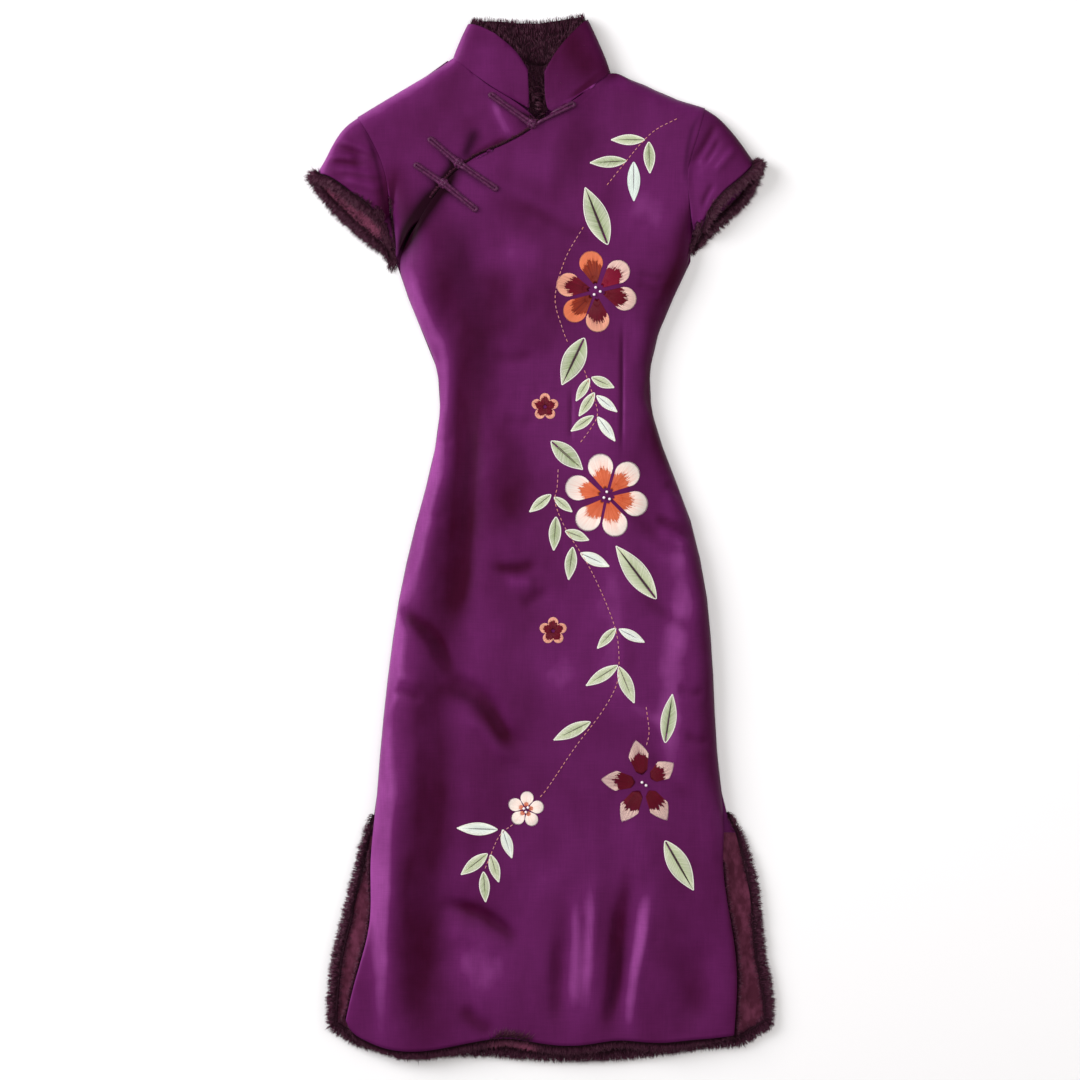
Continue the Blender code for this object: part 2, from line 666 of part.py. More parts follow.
def collar_fur(collection):
    """The fur inside the collar, standing above its edge and closing the gap at the front."""
    outer = collar_points(
        COLLAR_FUR_REACH_LEFT, COLLAR_FUR_REACH_RIGHT, COLLAR_FUR_SHOWS_FRONT, COLLAR_FUR_SHOWS,
        np.linspace(COLLAR_FUR_FOOT_SHARE, 1.0, COLLAR_ROWS),
    )
    points = moved_in(outer, CLOTH_WALL + LINING_GAP)
    return sheet("collar_fur", points, COLLAR_LINING_WALL, True, FUR, collection)


def rings_along(centres, outward, half_widths, half_heights, sides):
    """Oval rings square to a route of centres, each with its width along the outward direction."""
    run = np.gradient(centres, axis=0)
    run /= np.linalg.norm(run, axis=1)[:, None]
    across = np.cross(run, outward)
    across /= np.linalg.norm(across, axis=1)[:, None]
    level = np.cross(across, run)
    angles = 2.0 * np.pi * np.arange(sides) / sides
    wide = level * half_widths[:, None]
    tall = across * half_heights[:, None]
    return (
        centres[:, None]
        + np.cos(angles)[None, :, None] * wide[:, None]
        + np.sin(angles)[None, :, None] * tall[:, None]
    )


def cuff_fur(name, cuff_front, cuff_back, fur_end, front_is_left, collection):
    """The fur round one sleeve opening and down the open edge of the armhole to the armpit."""
    front_edge = along(cuff_front, np.linspace(0.0, CUFF_FUR_TURN_SHARE, CUFF_FUR_FRONT_RINGS))
    back_outline = reversed_outline(cuff_back) + (fur_end,)
    back_shares = np.linspace(1.0 - CUFF_FUR_TURN_SHARE, 1.0, CUFF_FUR_BACK_RINGS)
    back_edge = along(back_outline, back_shares)
    front_way = outward_of(front_edge, front_is_left)
    back_way = outward_of(back_edge, not front_is_left)
    stand_off = CUFF_FUR_HALF_WIDTH + CUFF_FUR_GAP
    front_z = front_height(front_edge) - CLOTH_WALL / 2
    front = raised(front_edge + front_way * stand_off, front_z)
    back_z = np.full(len(back_edge), CUFF_FUR_HALF_HEIGHT + FLOOR_GAP)
    back = raised(back_edge + back_way * stand_off, back_z)
    middle = (front[-1] + back[0]) / 2
    fold_way = np.append(np.array(cuff_front[-1], float) - (front_edge[-1] + back_edge[0]) / 2, 0.0)
    turn = [
        middle + (front[-1] - middle) * math.cos(angle) + fold_way * math.sin(angle)
        for angle in (math.pi / 4, math.pi / 2, 3 * math.pi / 4)
    ]
    centres = np.concatenate([front, np.array(turn), back])
    turn_way = (front_way[-1] + back_way[0]) / 2
    outward = np.concatenate([front_way, [turn_way] * len(turn), back_way])
    outward = np.concatenate([outward, np.zeros((len(outward), 1))], axis=1)
    shares = even_shares(len(centres))
    from_end = smooth_step(np.minimum(shares, 1.0 - shares) * CUFF_FUR_TAPER)
    grown = CUFF_FUR_END_SHARE + (1.0 - CUFF_FUR_END_SHARE) * from_end
    rings = rings_along(
        centres, outward, CUFF_FUR_HALF_WIDTH * grown, CUFF_FUR_HALF_HEIGHT * grown, CUFF_FUR_SIDES
    )
    return swept(name, rings, FUR, collection)


def fur_shape(table, count):
    """Reach, rise and lip of a fur trim at each of count places along its edge."""
    shares = even_shares(count)
    knots = [row.share for row in table]
    reach = np.interp(shares, knots, [row.reach for row in table])
    rise = np.interp(shares, knots, [row.rise for row in table])
    lip = np.interp(shares, knots, [row.lip for row in table])
    return reach, rise, lip


def front_fur(collection):
    """The fur under the front's slit edges and hem, showing beyond them."""
    left, hem, right = skirt_edge(front_places(), FRONT_FUR_TOP_Y)
    kept = [hem[0]]
    for place in hem[1:-1]:
        far_enough = np.linalg.norm(place - kept[-1]) > FRONT_FUR_STEP
        if far_enough and np.linalg.norm(place - hem[-1]) > FRONT_FUR_STEP:
            kept.append(place)
    edge = np.concatenate([left[:-1], np.array(kept + [hem[-1]]), right[1:]])
    outward = outward_of(edge, False)
    top = front_height(edge) - CLOTH_WALL - FRONT_FUR_TOP_GAP
    low = np.minimum(FRONT_FUR_FOOT, top - FRONT_FUR_LEAST)
    reach, _, lip = fur_shape(FRONT_FUR_REACH, len(edge))
    sides = [
        raised(
            edge + outward * (point.reach * reach - point.lip * lip)[:, None],
            low + (top - low) * point.height,
        )
        for point in FRONT_FUR_SECTION
    ]
    return swept("front_fur", np.stack(sides, axis=1), FUR, collection)


def back_fur(collection):
    """The fur round the back's slit edges and hem, standing out from its edge."""
    left, hem, right = skirt_edge(back_places(), SLIT_TOP_Y - 1.0)
    edge = np.concatenate([left, hem, right])
    outward = outward_of(edge, False)
    reach, rise, lip = fur_shape(BACK_FUR_REACH, len(edge))
    sides = [
        raised(
            edge + outward * (BACK_FUR_GAP + point.reach * (reach - BACK_FUR_GAP) - point.lip * lip)[:, None],
            FLOOR_GAP + point.height * rise,
        )
        for point in BACK_FUR_SECTION
    ]
    return swept("back_fur", np.stack(sides, axis=1), FUR, collection)


def back_facing(collection):
    """The plush facing on the inside of the back, down both slits and along the hem."""
    left, hem, right = skirt_edge(back_places(), FACING_TOP_Y)
    outer = np.concatenate([left, hem, right])
    corner_left, corner_right = FACING_CORNERS
    upper_left = left[0] + (FACING_WIDTH, 0.0)
    upper_right = right[-1] - (FACING_WIDTH, 0.0)
    inner_left = np.linspace(upper_left, corner_left, len(left), endpoint=False)
    inner_hem = np.linspace(corner_left, corner_right, len(hem))
    inner_right = np.linspace(corner_right, upper_right, len(right) + 1)[1:]
    inner = np.concatenate([inner_left, inner_hem, inner_right])
    across = np.linspace(FACING_EDGE_GAP / FACING_WIDTH, 1.0, FACING_COLUMNS)[:, None, None]
    places = outer[None] * (1.0 - across) + inner[None] * across
    top = CLOTH_WALL + SEAM_GAP + FACING_WALL
    points = raised(places, np.full(places.shape[:-1], top))
    return sheet("back_facing", points, FACING_WALL, True, PLUSH, collection)


def opening_fur(collection):
    """The fur that peeks from under the flap along the slanting opening."""
    edge = along(DIAGONAL_OPENING, end_dense_shares(OPENING_ROWS))[OPENING_FUR_FIRST_ROW:]
    outward = outward_of(edge, True)
    spots = edge + outward * (OPENING_FUR_HALF + OPENING_FUR_GAP)
    centres = raised(spots, front_height(spots) + OPENING_FUR_HALF + OPENING_FUR_GAP)
    halves = np.full(len(centres), OPENING_FUR_HALF)
    outward = np.concatenate([outward, np.zeros((len(outward), 1))], axis=1)
    rings = rings_along(centres, outward, halves, halves, OPENING_FUR_SIDES)
    return swept("opening_fur", rings, FUR, collection)


def frog_loop(name, knot_end, far_end, on_flap, collection):
    """One flat loop of corded silk, from the knot out to its rounded end and back."""
    start = np.array(knot_end, float)
    span = np.array(far_end, float) - start
    length = np.linalg.norm(span)
    run = span / length
    side = np.array([-run[1], run[0]])
    half = CORD_SPACING / 2
    straight = np.linspace(0.0, length - half, CORD_STEPS)
    turn = np.linspace(math.pi / 2, -math.pi / 2, CORD_STEPS)[1:-1]
    route = [start + run * far + side * half for far in straight]
    route += [start + run * (length - half + half * math.cos(a)) + side * half * math.sin(a) for a in turn]
    route += [start + run * far - side * half for far in reversed(straight)]
    places = np.array(route)
    heights = front_height(places) + CORD_DIAMETER / 2 + CORD_GAP
    if on_flap:
        heights = heights + flap_lift(places)
    spline_points = raised(places, heights) * METRES
    curve = bpy.data.curves.new(name, "CURVE")
    curve.dimensions = "3D"
    spline = curve.splines.new("POLY")
    spline.points.add(len(spline_points) - 1)
    for point, place in zip(spline.points, spline_points):
        point.co = (*place, 1.0)
    curve.bevel_depth = CORD_DIAMETER / 2 * METRES
    curve.bevel_resolution = CORD_BEVEL
    curve.use_fill_caps = True
    piece = bpy.data.objects.new(name, curve)
    curve.materials.append(material_for(name, CORD))
    collection.objects.link(piece)
    return piece


def frog_knot(name, place, collection):
    """The knot ball that closes a frog, at the edge of the flap."""
    spot = np.array([place], float)
    height = float(front_height(spot)[0] + flap_lift(spot)[0]) + KNOT_RADIUS + CORD_GAP
    ball = bmesh.new()
    bmesh.ops.create_icosphere(ball, subdivisions=2, radius=KNOT_RADIUS * METRES)
    mesh = bpy.data.meshes.new(name)
    ball.to_mesh(mesh)
    ball.free()
    piece = new_object(name, mesh, CORD, collection)
    piece.location = (place[0] * METRES, place[1] * METRES, height * METRES)
    return piece


def frogs(collection):
    """The three fastenings of the flap, each two loops and a knot."""
    for frog in FROGS:
        frog_knot(f"frog_{frog.name}_knot", frog.knot, collection)
        for side, end, on_flap in (("left", frog.left_end, False), ("right", frog.right_end, True)):
            knot = np.array(frog.knot, float)
            way = np.array(end, float) - knot
            knot_end = knot + way / np.linalg.norm(way) * (KNOT_RADIUS + CORD_GAP * 2)
            frog_loop(f"frog_{frog.name}_loop_{side}", tuple(knot_end), end, on_flap, collection)


def main():
    """Build every piece of the garment."""
    clear_scene()
    collection = garment_collection()
    front_panel(collection)
    underlap(collection)
    back_panel(collection)
    sleeves(collection)
    collar(collection)
    collar_fur(collection)
    cuff_fur("cuff_fur_left", LEFT_CUFF_FRONT, LEFT_CUFF_BACK, LEFT_CUFF_FUR_END, True, collection)
    cuff_fur(
        "cuff_fur_right", RIGHT_CUFF_FRONT, RIGHT_CUFF_BACK, RIGHT_CUFF_FUR_END, False, collection,
    )
    front_fur(collection)
    back_facing(collection)
    back_fur(collection)
    opening_fur(collection)
    frogs(collection)


main()
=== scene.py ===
"""Dresses a padded silk cheongsam, laid flat on its back, in its cloth, fur, frogs and embroidery.

Sizes in the tables are millimetres on the garment as it lies: X to the right, Y from the hem to
the collar and Z up from the floor. They become metres where a mesh is made.
"""

import logging
import math
from dataclasses import dataclass
from enum import Enum
from typing import Iterable, NamedTuple, Optional, Sequence, Tuple

import bpy
import numpy as np
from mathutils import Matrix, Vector, noise
from mathutils.bvhtree import BVHTree


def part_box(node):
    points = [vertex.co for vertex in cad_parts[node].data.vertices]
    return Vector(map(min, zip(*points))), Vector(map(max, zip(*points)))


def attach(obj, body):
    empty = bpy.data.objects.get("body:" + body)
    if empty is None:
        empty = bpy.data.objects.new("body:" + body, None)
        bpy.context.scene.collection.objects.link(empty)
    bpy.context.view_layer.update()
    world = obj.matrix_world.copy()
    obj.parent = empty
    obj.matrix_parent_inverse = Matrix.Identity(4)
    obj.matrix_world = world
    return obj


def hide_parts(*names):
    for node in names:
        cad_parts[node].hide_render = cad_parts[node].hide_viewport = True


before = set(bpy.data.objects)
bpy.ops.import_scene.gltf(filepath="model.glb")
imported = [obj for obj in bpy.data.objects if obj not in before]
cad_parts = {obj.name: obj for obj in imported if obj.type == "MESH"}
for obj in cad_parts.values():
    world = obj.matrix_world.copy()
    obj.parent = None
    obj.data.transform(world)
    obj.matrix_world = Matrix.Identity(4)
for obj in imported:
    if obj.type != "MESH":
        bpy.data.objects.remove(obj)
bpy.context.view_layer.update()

MM = 0.001
LOG = logging.getLogger("cheongsam")

Piece = bpy.types.Object
Material = bpy.types.Material
Socket = bpy.types.NodeSocket
Axes = Tuple[float, float, float]
Colour = Tuple[float, float, float]
Place = Tuple[float, float]

# the picture's scale in millimetres, its size, and the place in it of the garment's origin, in pixels
PIXEL = 1.2
FRAME_PIXELS = 1080.0
PHOTO_ORIGIN = (542.0, 534.5)

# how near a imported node's loose corners are merged, and what tells a wall's face from its rim, in metres
MERGE_DISTANCE = 0.00002
SKIN_START = 0.0002
THINNEST_WALL = 0.0025
DEEPEST_WALL = 0.0034

# the share of a crease's length over which each of its ends fades away
CREASE_TAPER = 0.3


# Working in Blender


def stand_alone(piece: Piece) -> None:
    """Makes one piece the only selected and the active one.

    Args:
        piece: The object to work on.
    """
    if bpy.context.mode != "OBJECT":
        bpy.ops.object.mode_set(mode="OBJECT")
    bpy.ops.object.select_all(action="DESELECT")
    piece.select_set(True)
    bpy.context.view_layer.objects.active = piece


def enter_edit(piece: Piece) -> None:
    """Opens a piece in edit mode with nothing selected, ready to pick faces.

    Args:
        piece: The object to edit.
    """
    stand_alone(piece)
    bpy.ops.object.mode_set(mode="EDIT")
    bpy.ops.mesh.select_mode(type="FACE")
    bpy.ops.mesh.select_all(action="DESELECT")


def leave_edit() -> None:
    """Goes back to object mode."""
    bpy.ops.object.mode_set(mode="OBJECT")


def select_faces(piece: Piece, faces: Iterable[int]) -> None:
    """Opens a piece in edit mode with only these faces selected.

    Args:
        piece: The object to edit.
        faces: The faces' numbers.
    """
    enter_edit(piece)
    leave_edit()
    for number in faces:
        piece.data.polygons[number].select = True
    stand_alone(piece)
    bpy.ops.object.mode_set(mode="EDIT")


def tree_of(pieces: Sequence[Piece]) -> BVHTree:
    """Gathers the faces of pieces in one tree, in which near places are found.

    Args:
        pieces: The objects to read.

    Returns:
        The tree.
    """
    points, faces = [], []
    for piece in pieces:
        start = len(points)
        points.extend(vertex.co.copy() for vertex in piece.data.vertices)
        faces.extend(tuple(index + start for index in face.vertices) for face in piece.data.polygons)
    return BVHTree.FromPolygons(points, faces)


def apply_modifiers(piece: Piece) -> None:
    """Applies every modifier of a piece in turn.

    Args:
        piece: The object that carries them.
    """
    stand_alone(piece)
    for modifier in list(piece.modifiers):
        bpy.ops.object.modifier_apply(modifier=modifier.name)


def add_subdivision(piece: Piece, levels: int) -> None:
    """Puts a Subdivision Surface on a piece.

    Args:
        piece: The object to smooth.
        levels: How many times its faces are cut.
    """
    smooth = piece.modifiers.new("Smooth form", "SUBSURF")
    smooth.levels = levels
    smooth.render_levels = levels
    smooth.boundary_smooth = "PRESERVE_CORNERS"


def points_of(piece: Piece) -> np.ndarray:
    """Reads a mesh's vertices.

    Args:
        piece: The object to read.

    Returns:
        Their places, one row each, in metres.
    """
    places = np.empty(len(piece.data.vertices) * 3)
    piece.data.vertices.foreach_get("co", places)
    return places.reshape(-1, 3)


def normals_of(piece: Piece) -> np.ndarray:
    """Reads a mesh's vertex normals.

    Args:
        piece: The object to read.

    Returns:
        Unit vectors, one row each.
    """
    found = np.empty(len(piece.data.vertices) * 3)
    piece.data.vertex_normals.foreach_get("vector", found)
    return found.reshape(-1, 3)


def move_points(piece: Piece, places: np.ndarray) -> None:
    """Gives a mesh's vertices new places.

    Args:
        piece: The object to shape.
        places: Their places, one row each, in metres.
    """
    piece.data.vertices.foreach_set("co", np.ascontiguousarray(places, np.float64).ravel())
    piece.data.update()


def store_values(piece: Piece, name: str, values: np.ndarray) -> None:
    """Keeps one number for each vertex as an attribute that a material reads.

    Args:
        piece: The object that carries it.
        name: The attribute's name.
        values: One number for each vertex.
    """
    kept = piece.data.attributes.new(name, "FLOAT", "POINT")
    kept.data.foreach_set("value", np.asarray(values, np.float32))


def store_colours(piece: Piece, name: str, colours: np.ndarray) -> None:
    """Keeps one colour for each vertex as an attribute that a material reads.

    Args:
        piece: The object that carries it.
        name: The attribute's name.
        colours: One row of red, green and blue for each vertex.
    """
    kept = piece.data.attributes.new(name, "FLOAT_COLOR", "POINT")
    rows = np.concatenate([colours, np.ones((len(colours), 1))], axis=1)
    kept.data.foreach_set("color", np.asarray(rows, np.float32).ravel())


def new_object(name: str, data: bpy.types.ID) -> Piece:
    """Makes an object and puts it in the scene.

    Args:
        name: Its name.
        data: Its mesh, curve, light or camera.

    Returns:
        The new object.
    """
    made = bpy.data.objects.new(name, data)
    bpy.context.scene.collection.objects.link(made)
    return made


def new_piece(name: str, vertices: np.ndarray, faces: Sequence[Sequence[int]]) -> Piece:
    """Makes an object from points and faces.

    Args:
        name: The piece's name.
        vertices: Places in metres.
        faces: Rows of vertex numbers.

    Returns:
        The new object.
    """
    mesh = bpy.data.meshes.new(name)
    mesh.from_pydata(np.asarray(vertices, float).tolist(), [], [list(face) for face in faces])
    mesh.validate()
    mesh.shade_smooth()
    return new_object(name, mesh)


def copy_of_node(name: str, node: str) -> Piece:
    """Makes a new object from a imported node's mesh, with its loose triangles merged.

    Args:
        name: The new piece's name.
        node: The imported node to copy.

    Returns:
        The new object.
    """
    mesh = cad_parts[node].data.copy()
    mesh.name = name
    mesh.materials.clear()
    piece = new_object(name, mesh)
    enter_edit(piece)
    bpy.ops.mesh.select_all(action="SELECT")
    bpy.ops.mesh.remove_doubles(threshold=MERGE_DISTANCE)
    leave_edit()
    mesh.shade_smooth()
    return piece


def dress(piece: Piece, material: Material, nodes: Iterable[str] = ()) -> None:
    """Finishes a piece: its material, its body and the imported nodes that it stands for.

    Args:
        piece: The finished object.
        material: What it is made of.
        nodes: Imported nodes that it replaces.
    """
    piece.data.materials.clear()
    piece.data.materials.append(material)
    nodes = tuple(nodes)
    if nodes:
        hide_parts(*nodes)
    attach(piece, "root")
    LOG.info("%s: %d faces", piece.name, len(piece.data.polygons))


# Curves on the cloth


def smooth_curve(points: Sequence[Place], steps: int = 8) -> np.ndarray:
    """Places on a smooth curve that passes through the given ones.

    Args:
        points: The places that it passes through.
        steps: How many places each stretch gets.

    Returns:
        The curve's places, one row each.
    """
    knots = np.asarray(points, float)
    padded = np.vstack([2 * knots[0] - knots[1], knots, 2 * knots[-1] - knots[-2]])
    found = []
    for start in range(len(knots) - 1):
        before, here, after, beyond = padded[start:start + 4]
        for share in np.arange(steps) / steps:
            found.append(
                0.5 * (
                    2 * here
                    + (after - before) * share
                    + (2 * before - 5 * here + 4 * after - beyond) * share ** 2
                    + (3 * here - before - 3 * after + beyond) * share ** 3
                )
            )
    found.append(knots[-1])
    return np.array(found)


def nearest_on_curve(places: np.ndarray, curve: np.ndarray) -> Tuple[np.ndarray, np.ndarray]:
    """Finds how far places lie from a curve, and where along it.

    Args:
        places: Rows of x and y.
        curve: The curve's own places, in order.

    Returns:
        The distance of each place, and its nearest point's share of the curve's length.
    """
    starts = curve[:-1]
    spans = np.diff(curve, axis=0)
    squares = np.maximum((spans ** 2).sum(axis=1), 1e-9)
    lengths = np.sqrt(squares)
    before = np.concatenate([[0.0], np.cumsum(lengths)[:-1]])
    away = np.full(len(places), np.inf)
    share = np.zeros(len(places))
    for start, span, square, length, run in zip(starts, spans, squares, lengths, before):
        part = np.clip((places - start) @ span / square, 0.0, 1.0)
        distance = np.linalg.norm(places - start - part[:, None] * span, axis=1)
        nearer = distance < away
        away[nearer] = distance[nearer]
        share[nearer] = (run + part[nearer] * length) / lengths.sum()
    return away, share


def smooth_step(value: np.ndarray) -> np.ndarray:
    """Rises evenly from 0 at 0 to 1 at 1.

    Args:
        value: Numbers of any size.

    Returns:
        Numbers from 0 to 1.
    """
    share = np.clip(value, 0.0, 1.0)
    return share * share * (3.0 - 2.0 * share)


class Crease(NamedTuple):
    """A soft fold of the cloth: a ridge where its height is above zero, and a trough below."""

    route: Tuple[Place, ...]
    width: float
    height: float


def relief_of(creases: Iterable[Crease], places: np.ndarray) -> np.ndarray:
    """Adds up the heights of creases at places on the cloth.

    Args:
        creases: The folds.
        places: Rows of x and y, in millimetres.

    Returns:
        One height for each place, in millimetres.
    """
    relief = np.zeros(len(places))
    for crease in creases:
        curve = smooth_curve(crease.route) if len(crease.route) > 2 else np.array(crease.route, float)
        reach = 3.0 * crease.width
        low, high = curve.min(axis=0) - reach, curve.max(axis=0) + reach
        near = np.all((places > low) & (places < high), axis=1)
        if not near.any():
            continue
        away, share = nearest_on_curve(places[near], curve)
        taper = smooth_step(share / CREASE_TAPER) * smooth_step((1.0 - share) / CREASE_TAPER)
        relief[near] += crease.height * np.exp(-((away / crease.width) ** 2)) * taper
    return relief


class Ripple(NamedTuple):
    """Small waves of the cloth: their length along each axis, their share of the height, and their seed."""

    size: Axes
    share: float
    seed: float


SILK_RIPPLES = (Ripple((34.0, 46.0, 30.0), 1.0, 3.7), Ripple((13.0, 17.0, 12.0), 0.45, 9.1))
LYING_RIPPLES = (Ripple((30.0, 22.0, 900.0), 1.0, 5.3), Ripple((11.0, 15.0, 900.0), 0.6, 1.9))


def ripples(waves: Iterable[Ripple], height: float, places: np.ndarray) -> np.ndarray:
    """Adds up soft noise over the cloth, the same in each run.

    Args:
        waves: The ripples.
        height: How high the largest are, in millimetres.
        places: Places in millimetres, one row each.

    Returns:
        One height for each place, in millimetres.
    """
    risen = np.zeros(len(places))
    for wave in waves:
        scaled = places / np.array(wave.size) + wave.seed
        risen += wave.share * height * np.array([noise.noise(Vector(row)) for row in scaled.tolist()])
    return risen


# Finishes


class NodeBench:
    """Builds one material's node tree."""

    def __init__(self, name: str) -> None:
        """Starts a material with its shader and its coordinates.

        Args:
            name: The material's name.
        """
        self.material = bpy.data.materials.new(name)
        self.material.use_nodes = True
        self.tree = self.material.node_tree
        self.shader = self.tree.nodes["Principled BSDF"]
        self.place = self.tree.nodes.new("ShaderNodeTexCoord").outputs["Object"]

    def link(self, source: Socket, target: Socket) -> None:
        """Joins two sockets.

        Args:
            source: The output.
            target: The input.
        """
        self.tree.links.new(source, target)

    def shine(self, **values: object) -> None:
        """Sets constants on the shader's own sockets.

        Args:
            **values: Socket names with _ for each space, and their values.
        """
        for name, value in values.items():
            self.shader.inputs[name.replace("_", " ")].default_value = value

    def stretched(self, size: Axes) -> Socket:
        """Object coordinates in which one step is this long along each axis.

        Args:
            size: Lengths in millimetres.

        Returns:
            The mapped coordinates.
        """
        mapping = self.tree.nodes.new("ShaderNodeMapping")
        mapping.inputs["Scale"].default_value = [1.0 / (length * MM) for length in size]
        self.link(self.place, mapping.inputs["Vector"])
        return mapping.outputs["Vector"]

    def noise(self, size: Axes, detail: float = 2.0) -> Socket:
        """Soft noise, from 0 to 1.

        Args:
            size: How large its spots are along each axis, in millimetres.
            detail: How much finer noise it carries.

        Returns:
            Its value.
        """
        texture = self.tree.nodes.new("ShaderNodeTexNoise")
        texture.inputs["Scale"].default_value = 1.0
        texture.inputs["Detail"].default_value = detail
        self.link(self.stretched(size), texture.inputs["Vector"])
        return texture.outputs["Fac"]

    def bands(self, pitch: float, axis: str) -> Socket:
        """Even bands, as threads lie side by side.

        Args:
            pitch: From one thread to the next, in millimetres.
            axis: The axis that they are counted along, X or Y.

        Returns:
            Their height, from 0 to 1.
        """
        texture = self.tree.nodes.new("ShaderNodeTexWave")
        texture.bands_direction = axis
        texture.inputs["Scale"].default_value = math.pi / 10.0
        texture.inputs["Distortion"].default_value = 1.2
        texture.inputs["Detail"].default_value = 1.0
        self.link(self.stretched((pitch, pitch, pitch)), texture.inputs["Vector"])
        return texture.outputs["Fac"]

    def maths(self, operation: str, first: object, second: object) -> Socket:
        """A sum, product or the like of two values.

        Args:
            operation: Blender's name for it.
            first: A socket or a number.
            second: A socket or a number.

        Returns:
            The outcome.
        """
        node = self.tree.nodes.new("ShaderNodeMath")
        node.operation = operation
        for socket, value in zip(node.inputs, (first, second)):
            if isinstance(value, (int, float)):
                socket.default_value = value
            else:
                self.link(value, socket)
        return node.outputs["Value"]

    def spread(self, value: Socket, low: float, high: float, to_low: float, to_high: float) -> Socket:
        """Stretches a range of values to another.

        Args:
            value: The values.
            low: Where the range starts.
            high: Where it ends.
            to_low: What its start becomes.
            to_high: What its end becomes.

        Returns:
            The new values, held within the new range.
        """
        node = self.tree.nodes.new("ShaderNodeMapRange")
        self.link(value, node.inputs["Value"])
        for name, number in (("From Min", low), ("From Max", high), ("To Min", to_low), ("To Max", to_high)):
            node.inputs[name].default_value = number
        return node.outputs["Result"]

    def colours(self, share: Socket, stops: Sequence[Tuple[float, Colour]]) -> Socket:
        """Colours along a ramp.

        Args:
            share: Where along it, from 0 to 1.
            stops: Positions and their colours.

        Returns:
            The colour.
        """
        ramp = self.tree.nodes.new("ShaderNodeValToRGB")
        self.link(share, ramp.inputs["Fac"])
        elements = ramp.color_ramp.elements
        while len(elements) < len(stops):
            elements.new(0.5)
        for element, (position, colour) in zip(elements, stops):
            element.position = position
            element.color = (*colour, 1.0)
        return ramp.outputs["Color"]

    def mixed(self, share: object, first: object, second: object, blend: str = "MIX") -> Socket:
        """Mixes two colours.

        Args:
            share: How much of the second, a socket or a number.
            first: A socket or a colour.
            second: A socket or a colour.
            blend: Blender's name for the way.

        Returns:
            The mixed colour.
        """
        node = self.tree.nodes.new("ShaderNodeMix")
        node.data_type = "RGBA"
        node.blend_type = blend
        for socket, value in ((node.inputs[0], share), (node.inputs[6], first), (node.inputs[7], second)):
            if isinstance(value, (int, float)):
                socket.default_value = value
            elif isinstance(value, tuple):
                socket.default_value = (*value, 1.0)
            else:
                self.link(value, socket)
        return node.outputs[2]

    def attribute(self, name: str, output: str) -> Socket:
        """A value or colour that the mesh carries.

        Args:
            name: The attribute's name.
            output: Fac or Color.

        Returns:
            What it holds.
        """
        node = self.tree.nodes.new("ShaderNodeAttribute")
        node.attribute_type = "GEOMETRY"
        node.attribute_name = name
        return node.outputs[output]

    def bump(self, height: Socket, strength: float, distance: float) -> None:
        """Roughens the surface.

        Args:
            height: The relief, from 0 to 1.
            strength: How strongly it shows.
            distance: How deep it is, in millimetres.
        """
        node = self.tree.nodes.new("ShaderNodeBump")
        node.inputs["Strength"].default_value = strength
        node.inputs["Distance"].default_value = distance * MM
        self.link(height, node.inputs["Height"])
        self.link(node.outputs["Normal"], self.shader.inputs["Normal"])


class Finish:
    """What a piece is made of: each kind paints its own material."""

    def paint(self, bench: NodeBench) -> None:
        """Stands for each kind's own painting."""
        raise NotImplementedError

    def material(self, name: str) -> Material:
        """Makes the finish's material.

        Args:
            name: The material's name.

        Returns:
            The material.
        """
        bench = NodeBench(name)
        self.paint(bench)
        return bench.material


